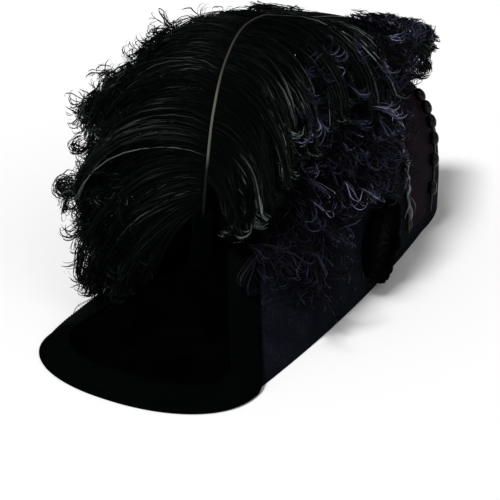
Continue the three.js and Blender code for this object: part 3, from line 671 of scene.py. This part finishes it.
def flap_ribbon():
    """The ribbon round the flap's edge, with its cross ribs as real ridges and rolled edges."""
    outset = 2 * GAP + FLAP_THICK + RIBBON_THICK
    outline, length = flap_outline(outset)
    ribs = int(length[-1] / RIB_PITCH)

    def strip(u, v):
        at = u * length[-1]
        x, y = line_at(outline, length, at)
        ahead, behind = [line_at(outline, length, at + step) for step in (2, -2)]
        dx, dy = np.subtract(ahead, behind)
        run = np.maximum(np.hypot(dx, dy), TINY)
        across = v * RIBBON_WIDTH
        x, y = x - dy / run * across, y + dx / run * across
        outer_roll = OUTER_ROLL * np.clip(1 - v / OUTER_ROLL_SHARE, 0, 1)
        inner_roll = INNER_ROLL * np.clip(1 - (1 - v) / INNER_ROLL_SHARE, 0, 1)
        ridge = RIB_HEIGHT * np.cos(2 * math.pi * ribs * u) + outer_roll + inner_roll
        points = over_crown(x, y, outset)
        points[:, 2] += ridge
        points[:, :2] += np.stack([dy / run, -dx / run], -1) * (ridge * RIDGE_OUTWARDS)[:, None]
        return points
    piece = shaped_grid("ribbon_binding", 8, ribs * 4, strip, thickness=RIBBON_WALL, inside=UNDER_FRONT)
    keep_above(piece, RIBBON_LOWEST)
    return finish_piece(piece, ["front_binding"], RIBBON_LOOK)


# Socket and quill


def fluted_socket():
    """The ribbon tube that holds the quill: rounded flutes, a rolled top and a dark bore."""
    measure = run_along(SOCKET_PROFILE)

    def tube(u, v):
        z, radius = line_at(SOCKET_PROFILE, measure, v * measure[-1])
        outside = np.clip((radius - SOCKET["plain"]) / 2, 0, 1)
        angle = 2 * math.pi * u
        hollow = (1 - np.abs(np.cos(angle * SOCKET["flutes"] / 2))) ** 1.5
        radius = radius - outside * SOCKET["flute"] * hollow
        x = radius * np.cos(angle)
        y = SOCKET["y"] + (z - SOCKET["base"]) * SOCKET["lean"] + radius * np.sin(angle)
        floor = crown_height(x, y, GAP + FLAP_THICK) + SOCKET["clear"]
        return np.stack([x, y, np.maximum(z, np.minimum(floor, SOCKET_LIP))], -1)
    piece = shaped_grid("socket_ribbon", 44, SOCKET["flutes"] * 12, tube, inside=(0, -103, 60))
    return finish_piece(piece, ["plume_socket"], RIBBON_LOOK)


def quill_path(along):
    """Points and directions of the quill's middle line at shares of its length."""
    return smooth_line(np.column_stack([np.zeros(len(QUILL)), QUILL]), np.asarray(along, float))


def quill_radius(along):
    """The quill tapers from its foot to its tip."""
    return QUILL_FOOT + (QUILL_END - QUILL_FOOT) * np.asarray(along, float)


def quill():
    """The tapered quill, with a shallow groove along its upper side and a narrowed foot."""
    def tube(u, v):
        middle, forward = quill_path(v)
        angle = 2 * math.pi * u
        up = np.stack([np.zeros_like(v), -forward[:, 2], forward[:, 1]], -1)
        groove = 1 - QUILL_GROOVE * np.exp(-((np.cos(angle) - 1) / 0.12) ** 2)
        radius = quill_radius(v) * groove
        radius = np.where(v < 0.012, radius * 0.6, radius)
        return ring(middle, up, np.array([1.0, 0, 0]), radius, angle)
    piece = shaped_grid("quill_shaft", 160, 20, tube, inside=(0, 20, 60))
    edit_all(bpy.ops.mesh.normals_make_consistent, inside=False)
    return finish_piece(piece, ["plume_quill"], QUILL_LOOK)


# Feathers


def paint_strands(mesh, strand, light):
    """Each corner of a feather mesh keeps its strand's tone with painted highlights, and its painted share of
    light.
    """
    for name, values in (("strand", strand), ("light", light)):
        mesh.attributes.new(name, "FLOAT", "POINT").data.foreach_set("value", values.astype(np.float32))


def strand_mesh(name, paths, widths, flat_along, tones_and_painted_light, light, material, node):
    """Flat tapering strands along paths, joined in one mesh."""
    count, steps = paths.shape[:2]
    tangent = unit(np.gradient(paths, axis=1))
    side = unit(flat_along[:, None] - tangent * np.sum(flat_along[:, None] * tangent, -1, keepdims=True))
    half = side * widths[..., None] / 2
    points = in_scene(np.stack([paths - half, paths + half], 2).reshape(-1, 3))
    points[:, 2] = np.maximum(points[:, 2], LEAST_HEIGHT * MM)
    base = (np.arange(count)[:, None] * steps + np.arange(steps - 1)[None]) * 2
    faces = np.stack([base, base + 2, base + 3, base + 1], -1).reshape(-1, 4)
    mesh = bpy.data.meshes.new(name)
    mesh.vertices.add(len(points))
    mesh.vertices.foreach_set("co", points.ravel())
    mesh.loops.add(faces.size)
    mesh.loops.foreach_set("vertex_index", faces.ravel().astype(np.int32))
    mesh.polygons.add(len(faces))
    mesh.polygons.foreach_set("loop_start", np.arange(0, faces.size, 4, dtype=np.int32))
    mesh.update(calc_edges=True)
    mesh.polygons.foreach_set("use_smooth", np.ones(len(faces), bool))
    paint_strands(mesh, np.repeat(tones_and_painted_light, steps * 2), np.repeat(light.ravel(), 2))
    piece = bpy.data.objects.new(name, mesh)
    bpy.context.collection.objects.link(piece)
    return finish_piece(piece, [node], material)


def sided(side, vector):
    """A vector that is given for the left side, on either side."""
    return np.array(vector, float) * (side, 1, 1)


def shared(limits, groups, group, own):
    """A random value for each group, times a scatter of each strand's own."""
    return rng.uniform(*limits, groups)[group] * rng.uniform(*own, len(group))


def shared_lean(side, strand, groups, group):
    """A random direction for each group, about its kind of strand's lean, and each strand's own stray."""
    led = rng.normal(0, LEAN_SPREAD, (groups, 3)) + sided(side, strand["lean"])
    return led[group] + rng.normal(0, strand["stray"], (len(group), 3))


def hanging_paths(root, side, sweep, rise, fall, length):
    """Barbs that leave their roots at the first slope and turn to the last one as they fall."""
    share = np.linspace(0, 1, BARB_STEPS)
    slope = np.radians(rise[:, None] + (fall - rise)[:, None] * share ** EARLY_BEND)
    yaw = np.radians(sweep)[:, None]
    heading = np.stack([side * np.cos(yaw), np.sin(yaw)], -1)
    move = np.concatenate([heading * np.cos(slope)[..., None], np.sin(slope)[..., None]], -1)
    move = move * (length[:, None, None] / (BARB_STEPS - 1))
    move[:, 0] = 0
    return root[:, None] + np.cumsum(move, axis=1)


def with_curls(paths, radius, turn, lean, steps):
    """Each path gets a curled end: a tightening spiral that starts along the path's last direction."""
    tangent = unit(paths[:, -1] - paths[:, -2])
    normal = unit(lean - tangent * np.sum(lean * tangent, -1, keepdims=True))
    drift = np.cross(tangent, normal) * np.sign(lean[:, 1:2] + TINY)
    share = np.linspace(0, 1, steps + 1)[1:]
    angle = np.radians(turn)[:, None] * share
    shrink = radius[:, None] * (1 - CURL_TIGHTENING * share)
    curl = (tangent[:, None] * (shrink * np.sin(angle))[..., None]
            + normal[:, None] * (radius[:, None] - shrink * np.cos(angle))[..., None]
            + drift[:, None] * (radius[:, None] * CURL_DRIFT * share)[..., None])
    return np.concatenate([paths, paths[:, -1:] + curl], 1)


def in_place(paths, loft):
    """Strands stay within the plume's breadth, off the felt and, but for their loft, under its top line."""
    x, y, z = paths[..., 0], paths[..., 1], paths[..., 2]
    inner, lower, nearer = rng.random((3, len(paths), 1)) * LIMIT_SPREAD
    y = y - np.maximum(y - REAR_REACH + nearer, 0) * PULL_BACK
    reach = np.where(x > 0, np.interp(y, *LEFT_REACH), np.interp(y, *RIGHT_REACH)) * (FULL_REACH - inner)
    x = x - np.sign(x) * np.maximum(np.abs(x) - reach, 0) * PULL_BACK
    z = z - np.maximum(z - np.interp(y, *PLUME_TOP) - loft + lower, 0) * PULL_BACK
    half_width, ridge, square = section(y, OVER_FLAP)
    over_roof = np.abs(x) < ROOF_SHARE * half_width
    up = np.clip(z / np.maximum(ridge, TINY), 0, 1)
    wall = half_width * (1 - up ** square) ** (1 / square)
    z = np.where(over_roof, np.maximum(z, crown_height(x, y, OVER_FLAP)), z)
    x = np.where(over_roof, x, np.sign(x) * np.maximum(np.abs(x), wall))
    return np.stack([x, y, z], -1)


def gathered_barbs(side, table, count, locks, crowd, lowest, straight):
    """Barbs of one vane before they curl: each starts at its own place on the quill, drawn to its lock."""
    first, last = table[0, 0], table[-1, 0]
    along = first + (last - first) * rng.random(count) ** crowd
    middles = first + (last - first) * rng.random(locks) ** crowd
    near = along + rng.normal(0, LOCK_MIXING, count)
    lock = np.abs(near[:, None] - middles[None]).argmin(1)
    lock_rise, lock_sweep, lock_fall = rng.normal(0, 1, (3, locks)) * LOCK_SPREAD
    lock_length = rng.uniform(*LOCK_LENGTH, locks)

    def paths_at(place, group, loose):
        root, _ = quill_path(place)
        root[:, 0] = side * (quill_radius(place) + OFF_QUILL)
        own_sweep, own_rise, own_fall = rng.normal(0, loose, (3, len(place))) * BARB_SPREAD
        sweep = smooth_column(table, SWEEP, place) + lock_sweep[group] + own_sweep
        rise = smooth_column(table, RISE, place) + lock_rise[group] + own_rise
        fall = smooth_column(table, FALL, place) + lock_fall[group] + own_fall
        shorter = 1 - BARB_SHORTER * loose * rng.random(len(place))
        length = smooth_column(table, LENGTH, place) * lock_length[group] * shorter * straight
        return hanging_paths(root, side, sweep, rise, fall, length)
    own = paths_at(along, lock, 1.0)
    led = paths_at(middles, np.arange(locks), 0.0)[lock]
    share = np.linspace(0, 1, BARB_STEPS)
    paths = own + (led - own) * (LOCK_DRAW * share ** 1.4)[None, :, None]
    tangent = unit(np.gradient(paths, axis=1))
    across = np.cross(tangent, np.array([0.0, 1.0, 0.0]))
    outward = unit(across * np.sign(across[..., 2:3] + TINY))
    depth = rng.uniform(*DEPTH_RANGE, locks)[lock] * 0.7 + rng.uniform(*DEPTH_RANGE, count) * 0.3
    sunk = depth ** 3 * PLUME_DEPTH
    paths = paths + outward * (sunk[:, None] * np.sin(math.pi * 0.75 * share))[..., None]
    phase = rng.uniform(0, 2 * math.pi, locks)[lock] + rng.normal(0, 0.6, count)
    wave = phase[:, None] + share * WAVE_RUN
    paths[..., 1] += WAVE_SWAY * np.sin(wave) * share ** 1.2
    paths[..., 2] += WAVE_LIFT * np.cos(wave * 1.3) * share ** 1.2
    if lowest is not None:
        top = paths[:, :1, 2]
        drop = top - paths[..., 2].min(1, keepdims=True)
        room = top - np.interp(paths[:, -1:, 1], *lowest) - CURL_ROOM
        paths[..., 2] = top + (paths[..., 2] - top) * np.clip(room / np.maximum(drop, 1), 0.2, 1)
    return along, lock, paths


def vane(name, side, table, node, count, locks, curls, tone, crowd=1.0, lowest=None, painted_shade_for=NO_SHADE):
    """One side of the plume: barbs in locks whose ends curl together, painted as shade for a share of their
    length.
    """
    straight_share, tight, loose, least, most = curls
    along, lock, paths = gathered_barbs(side, table, count, locks, crowd, lowest, straight_share)
    lean = shared_lean(side, BARB, locks, lock)
    radius = shared((tight, loose), locks, lock, RADIUS_SCATTER)
    turn = shared((least, most), locks, lock, BARB["turns"])
    paths = with_curls(paths, radius, turn, lean, CURL_STEPS)
    share = np.linspace(0, 1, paths.shape[1])
    widths = np.interp(share, *BARB_WIDTH)[None] * rng.uniform(*BARB_SCATTER, count)[:, None]
    _, forward = quill_path(along)
    roll = forward + BARB["roll"] * rng.normal(0, 1, (count, 3))
    # Painted shade: for the share of its length that the table gives, each barb is painted nearly black.
    straight = np.minimum(np.arange(len(share)) / (BARB_STEPS - 1), 1)
    past_shade = (straight[None] - np.interp(along, *painted_shade_for)[:, None]) / SHADE_EDGE
    light = SHADE_LIGHT + (1 - SHADE_LIGHT) * np.clip(past_shade, 0, 1)
    # Random tone for each lock and barb, whose few light locks are painted highlight streaks, times the
    # painted light and shade of the tone table along the quill.
    lock_tone_and_painted_highlight = 0.5 * rng.random(locks)[lock] ** TONE_CONTRAST
    tones_and_painted_light = np.interp(along, *tone) * (lock_tone_and_painted_highlight + 0.5 * rng.random(count) ** TONE_CONTRAST)
    return strand_mesh(name, in_place(paths, 0), widths, roll, tones_and_painted_light, light, BARB_LOOK, node)


def shoulder_tufts(side, table, count):
    """Roots, headings, bends and lengths of the tufts on one shoulder of the crown."""
    tuft = SHOULDER_TUFT
    y = table[0, 0] + (table[-1, 0] - table[0, 0]) * rng.random(count)
    roots = crown_point(y, side * rng.uniform(*tuft["turn"], count), OVER_FLAP)
    roots += rng.uniform(0, 1, (count, 1)) ** 2 * sided(side, tuft["off"])
    rise = np.radians(rng.normal(0, tuft["rise"], count))
    sweep = np.radians(rng.normal(0, tuft["sweep"], count))
    headings = np.stack([side * np.cos(sweep) * np.cos(rise), np.sin(sweep) * np.cos(rise), np.sin(rise)], -1)
    bends = rng.normal(0, tuft["bend"], (count, 3)) + np.array([0, 0, tuft["droop"]])
    return roots, headings, bends, smooth_column(table, LENGTH, y) * rng.uniform(*tuft["length"], count)


def flank_tufts(side, table, count, lowest, first, start, crowd, lift):
    """The same for tufts over a vane, which sit beyond first along the quill and start along its barbs."""
    tuft = FLANK_TUFT
    rows = table[table[:, 0] >= first]
    _, _, barbs = gathered_barbs(side, rows, count, tuft["locks"], crowd, lowest, tuft["straight"])
    place = rng.uniform(start, tuft["last"], count) * (BARB_STEPS - 1)
    step = np.minimum(place.astype(int), BARB_STEPS - 2)
    each = np.arange(count)
    ahead = barbs[each, step + 1] - barbs[each, step]
    roots = barbs[each, step] + ahead * (place - step)[:, None]
    roots += sided(side, tuft["lift"]) * rng.uniform(0, lift, (count, 1))
    headings = unit(ahead) + rng.normal(0, tuft["stray"], (count, 3)) + sided(side, tuft["out"])
    bends = rng.normal(0, tuft["bend"], (count, 3)) + np.array([0, 0, tuft["droop"]])
    return roots, headings, bends, rng.uniform(*tuft["length"], count)


def curled_flues(name, side, node, look, tuft_sets, lowest, loft=2):
    """Flues in tufts: those of one tuft leave nearly one place, lie nearly one way and curl together."""
    roots, headings, bends, reach = [np.concatenate(parts) for parts in zip(*tuft_sets)]
    high = roots[:, 2] > np.interp(roots[:, 1], *lowest) + FLUE["over"]
    roots, headings, bends, reach = roots[high], headings[high], bends[high], reach[high]
    tufts = len(roots)
    tuft = np.repeat(np.arange(tufts), FLUES_PER_TUFT)
    total = len(tuft)
    root = roots[tuft] + rng.normal(0, FLUE["root"], (total, 3))
    heading = unit(headings)[tuft] + rng.normal(0, FLUE["spread"], (total, 3))
    bend = bends[tuft] + rng.normal(0, FLUE["spread"], (total, 3))
    move = unit(heading[:, None] + bend[:, None] * np.linspace(0, 1, FLUE_STEPS)[None, :, None])
    move *= (reach[tuft] * rng.uniform(*FLUE["length"], total) / (FLUE_STEPS - 1))[:, None, None]
    move[:, 0] = 0
    paths = root[:, None] + np.cumsum(move, axis=1)
    lean = shared_lean(side, FLUE, tufts, tuft)
    radius = shared(FLUE["radius"], tufts, tuft, RADIUS_SCATTER)
    turn = shared(FLUE["turn"], tufts, tuft, FLUE["turns"])
    paths = with_curls(paths, radius, turn, lean, FLUE_CURL_STEPS)
    ends = np.interp(root[:, 1], *lowest) + np.abs(rng.normal(0, FLUE["ends"], tufts))[tuft]
    drop = root[:, 2] - paths[..., 2].min(1)
    keep = np.clip((root[:, 2] - ends) / np.maximum(drop, TINY), FLUE["least"], 1)
    paths = root[:, None] + (paths - root[:, None]) * keep[:, None, None]
    share = np.linspace(0, 1, paths.shape[1])
    widths = np.interp(share, *FLUE_WIDTH)[None] * rng.uniform(*FLUE_SCATTER, total)[:, None]
    roll = rng.normal(0, 1, (tufts, 3))[tuft] + FLUE["roll"] * rng.normal(0, 1, (total, 3))
    # Painted shade: flues are painted darker towards their roots, under the others.
    light = np.broadcast_to(0.3 + 0.7 * np.clip(share / 0.5, 0, 1), (total, len(share)))
    # Random tone for each tuft and flue; the few light tufts are painted highlights.
    tones_and_painted_light = 0.78 * rng.random(tufts)[tuft] ** 2 + 0.22 * rng.random(total)
    tones_and_painted_light *= np.interp(root[:, 2], *LOW_FLUES)
    return strand_mesh(name, in_place(paths, loft), widths, roll, tones_and_painted_light, light, look, node)


# Rosette, panel and beads


def rosette():
    """A pleated ribbon rosette: folded pleats that rise to the middle, and a scalloped edge."""
    back = float(section(ROSETTE["y"], 0)[0]) + GAP
    pleats = ROSETTE["pleats"]
    measure = run_along(ROSETTE_PROFILE)

    def fan(u, v):
        x, radius = line_at(ROSETTE_PROFILE, measure, v * measure[-1])
        angle = 2 * math.pi * u
        fold = np.abs(((u * pleats) % 1) - 0.5) * 2
        front = np.clip((x - 1.5) / 2, 0, 1)
        x = x - front * ROSETTE["fold"] * fold ** 0.8 * np.clip(radius / 14, 0, 1)
        radius = radius * (1 - 0.05 * fold * front)
        x = x + front * ROSETTE["tilt"] * (1 - radius / ROSETTE["radius"] * np.cos(angle)) / 2
        y, z = ROSETTE["y"] + radius * np.cos(angle), ROSETTE["z"] + radius * np.sin(angle)
        return np.stack([back + x, y, z], -1)
    centre = (back + 2, ROSETTE["y"], ROSETTE["z"])
    piece = shaped_grid("rosette_pleats", 36, pleats * 8, fan, inside=centre)
    return finish_piece(piece, ["rosette"], RIBBON_LOOK)


def rosette_button():
    """The cloth-covered button in the middle of the rosette, its cloth gathered round the edge."""
    face = float(section(ROSETTE["y"], 0)[0]) + GAP + ROSETTE["front"] + ROSETTE["tilt"] / 2

    def dome(u, v):
        angle, tip = 2 * math.pi * u, math.pi * v
        radius = BUTTON["radius"] * np.sin(tip)
        bulge = np.where(np.cos(tip) > 0, BUTTON["front"], BUTTON["back"]) * np.cos(tip)
        gathers = BUTTON["gather"] * np.sin(BUTTON["gathers"] * angle) * np.sin(tip)
        y, z = ROSETTE["y"] + radius * np.cos(angle), ROSETTE["z"] + radius * np.sin(angle)
        return np.stack([face + BUTTON["seat"] + bulge + gathers, y, z], -1)
    piece = shaped_grid("rosette_button_cloth", 24, 48, dome, inside=(face, ROSETTE["y"], ROSETTE["z"]))
    return finish_piece(piece, ["rosette_button"], VELVET_LOOK)


def panel_edges(share):
    """The panel's turn round the crown, and its front and rear edge, from its foot to its top."""
    turn = PANEL["foot"] + (PANEL["top"] - PANEL["foot"]) * share
    bow = PANEL["bow"] * (1 - np.sin(math.pi * share))
    return turn, PANEL["front"] + bow, PANEL["rear"] - bow


def side_panel():
    """The plum leaf on the left side, with soft quilted swells."""
    def leaf(u, v):
        turn, front, rear = panel_edges(v)
        swell = PANEL["swell"] * np.sin(math.pi * np.clip(u, 0, 1)) ** 0.5
        swell += PANEL["quilting"] * np.sin(v * 23 + u * 5)
        y = front + (rear - front) * u
        points = crown_point(y, turn, GAP + PANEL["thick"])
        return points + np.array([1.0, 0, 0.35]) * swell[:, None]
    piece = shaped_grid("panel_cloth", 70, 40, leaf, thickness=PANEL["thick"])
    return finish_piece(piece, ["side_panel"], PLUM_LOOK)


def tube_frame(forward):
    """The two directions across a tube that runs forward."""
    across = unit(np.cross(forward, np.array([0.0, 1.0, 0.05])))
    return across, np.cross(across, forward)


def tube_along(name, points, radius):
    """A round cord through points, closed at its ends."""
    cap, sides, rows = 0.01, 10, 90

    def cord(u, v):
        middle, forward = smooth_line(points, np.clip((v - cap) / (1 - 2 * cap), 0, 1))
        across, up = tube_frame(forward)
        size = np.where((v < cap / 2) | (v > 1 - cap / 2), 0.0, radius)
        return ring(middle, across, up, size, 2 * math.pi * u)
    piece = shaped_grid(name, rows, sides, cord, inside=(0, 100, 60))
    edit_all(bpy.ops.mesh.normals_make_consistent, inside=False)
    return piece


def edge_points(edge, out, lift):
    """Points along the panel's front or rear edge."""
    turn, front, rear = panel_edges(np.linspace(0, 1, EDGE_POINTS))
    return crown_point((front if edge == "front" else rear) + out, turn, lift)


def panel_piping():
    """The tan cord along the panel's front edge."""
    points = edge_points("front", -PIPING_RADIUS - GAP, GAP + PIPING_RADIUS)
    piece = tube_along("piping_cord", points, PIPING_RADIUS)
    return finish_piece(piece, ["panel_piping"], CORD_LOOK)


def bead_string():
    """Oval jet beads on their thread along the panel's rear edge."""
    lift = GAP + BEADS["radius"]
    pieces = [tube_along("bead_thread", edge_points("rear", lift, lift), BEADS["thread"])]
    share = (np.arange(BEADS["count"]) + 0.5) / BEADS["count"]

    def place(at):
        turn, _, rear = panel_edges(at)
        return crown_point(rear + lift, turn, lift)
    step = 0.02
    for middle, forward in zip(place(share), unit(place(share + step) - place(share - step))):
        across, up = tube_frame(forward)

        def bead(u, v):
            tip = math.pi * v
            waist = BEADS["radius"] * np.sin(tip) ** 0.85
            slice_middle = middle + forward * (BEADS["length"] * np.cos(tip))[:, None]
            return ring(slice_middle, across, up, waist, 2 * math.pi * u)
        pieces.append(shaped_grid("bead", 20, 24, bead, inside=middle))
    return finish_piece(joined(pieces, "bead_string"), ["bead_edging"], BEAD_LOOK)


def hackles():
    """Pointed hackle feathers in front of the piping: cupped blades with a midrib, longest at the foot."""
    count = HACKLES["count"]
    share = np.sort(rng.uniform(0.03, 0.97, count))
    turn, front, _ = panel_edges(share)
    roots = crown_point(front - HACKLES["before"], turn, GAP + HACKLES["lift"])
    out = np.array([1.0, 0.0, 0.25])
    pieces = []
    for root, at in zip(roots, share):
        reach = np.interp(at, *HACKLE_REACH) * rng.uniform(0.8, 1.05)
        heading = unit(np.array([0.3, -0.55 + rng.normal(0, 0.25), -0.8 + rng.normal(0, 0.2)]))
        across = unit(np.cross(out, heading))
        half = rng.uniform(*HACKLES["half"])

        def blade(u, v):
            wide = half * np.sin(math.pi * np.clip(0.12 + 0.88 * v, 0, 1)) ** 0.8 * (1 - v ** 3)
            offset = (2 * u - 1) * wide
            cup = HACKLES["cup"] * (1 - np.abs(2 * u - 1)) + HACKLES["arch"] * np.sin(math.pi * v) ** 2
            points = root + heading * (reach * v)[:, None] + across * offset[:, None] + out * cup[:, None]
            points[:, 2] = np.maximum(points[:, 2], HACKLES["lowest"])
            return points
        pieces.append(shaped_grid("hackle", 12, 6, blade, thickness=HACKLES["thick"], inside=(0, 60, 60)))
    piece = joined(pieces, "hackle_blades")
    corners = len(piece.data.vertices)
    # Random tone for each hackle; the light ones are painted highlights.
    tone = np.repeat(rng.random(count), corners // count + 1)[:corners]
    paint_strands(piece.data, tone, np.ones(corners))
    return finish_piece(piece, ["hackle_fringe"], HACKLE_LOOK)


felt_crown()
front_flap()
flap_ribbon()
fluted_socket()
quill()
rosette()
rosette_button()
side_panel()
panel_piping()
bead_string()
hackles()
vane("vane_left_barbs", LEFT, LEFT_VANE, "plume_vane_left", count=5200, locks=130, curls=NEAR_CURLS,
     tone=LEFT_PAINTED_LIGHT, lowest=LEFT_VANE_LOWEST, painted_shade_for=LEFT_PAINTED_SHADE_SHARE)
vane("vane_right_barbs", RIGHT, RIGHT_VANE, "plume_vane_right", count=5400, locks=230, curls=FAR_CURLS,
     tone=RIGHT_PAINTED_SHADE, crowd=1.3)
far_tufts = [flank_tufts(RIGHT, RIGHT_VANE, 1780, None, first=0.05, start=0.42, crowd=2.2, lift=8)]
curled_flues("vane_right_curls", RIGHT, "plume_vane_right", BARB_LOOK, far_tufts, RIGHT_LOWEST)
left_tufts = [
    shoulder_tufts(LEFT, LEFT_UNDER, 520),
    flank_tufts(LEFT, LEFT_VANE, 620, LEFT_VANE_LOWEST, first=0.34, start=0.55, crowd=0.8, lift=14),
    flank_tufts(LEFT, LEFT_VANE, 540, LEFT_VANE_LOWEST, first=0.66, start=0.2, crowd=1.0, lift=14)]
curled_flues("under_plume_left_flues", LEFT, "under_plume_left", FLUE_LOOK, left_tufts,
             LEFT_LOWEST, loft=8)
right_tufts = [
    shoulder_tufts(RIGHT, RIGHT_UNDER, 420),
    flank_tufts(RIGHT, RIGHT_VANE, 250, None, first=0.34, start=0.62, crowd=1.0, lift=3)]
curled_flues("under_plume_right_flues", RIGHT, "under_plume_right", FLUE_LOOK, right_tufts,
             RIGHT_LOWEST)


# Floor, light and camera


def studio():
    """A white sweep and surround, a key light from over the front, and a wide fill from the hat's left."""
    bpy.ops.object.select_all(action="DESELECT")
    bpy.ops.mesh.primitive_plane_add(size=FLOOR_SIZE, location=(0, 0, -FLOOR_DROP * MM))
    floor = bpy.context.object
    floor.name = "paper_sweep"
    floor.data.materials.append(pale_floor())
    world = bpy.data.worlds.new("white_surround")
    bpy.context.scene.world = world
    world.use_nodes = True
    background = world.node_tree.nodes["Background"]
    background.inputs["Color"].default_value = linear("#ffffff")
    background.inputs["Strength"].default_value = SURROUND
    for name, spot, breadth, power in LIGHTS:
        light = bpy.data.lights.new(name, "SUN")
        light.angle = math.radians(breadth)
        light.energy = power
        lamp = bpy.data.objects.new(name, light)
        bpy.context.collection.objects.link(lamp)
        lamp.location = spot
        lamp.rotation_euler = (-Vector(spot)).to_track_quat("-Z", "Y").to_euler()


def photo_camera():
    """The camera at the photograph's angle, on the place it was fitted to."""
    azimuth, elevation = math.radians(CAMERA["azimuth"]), math.radians(CAMERA["elevation"])
    level = math.cos(elevation)
    back = Vector((math.sin(azimuth) * level, -math.cos(azimuth) * level, math.sin(elevation)))
    aim = Vector(in_scene(CAMERA["aim"]))
    lens = bpy.data.cameras.new("photo_camera")
    lens.sensor_width = CAMERA["sensor"]
    lens.lens = CAMERA["sensor"] * CAMERA["focal_px"] / CAMERA["picture_px"]
    camera = bpy.data.objects.new("photo_camera", lens)
    bpy.context.collection.objects.link(camera)
    camera.location = aim + back * CAMERA["distance"]
    camera.rotation_euler = (-back).to_track_quat("-Z", "Y").to_euler()
    bpy.context.scene.camera = camera


studio()
photo_camera()
bpy.context.scene.view_settings.view_transform = "Standard"
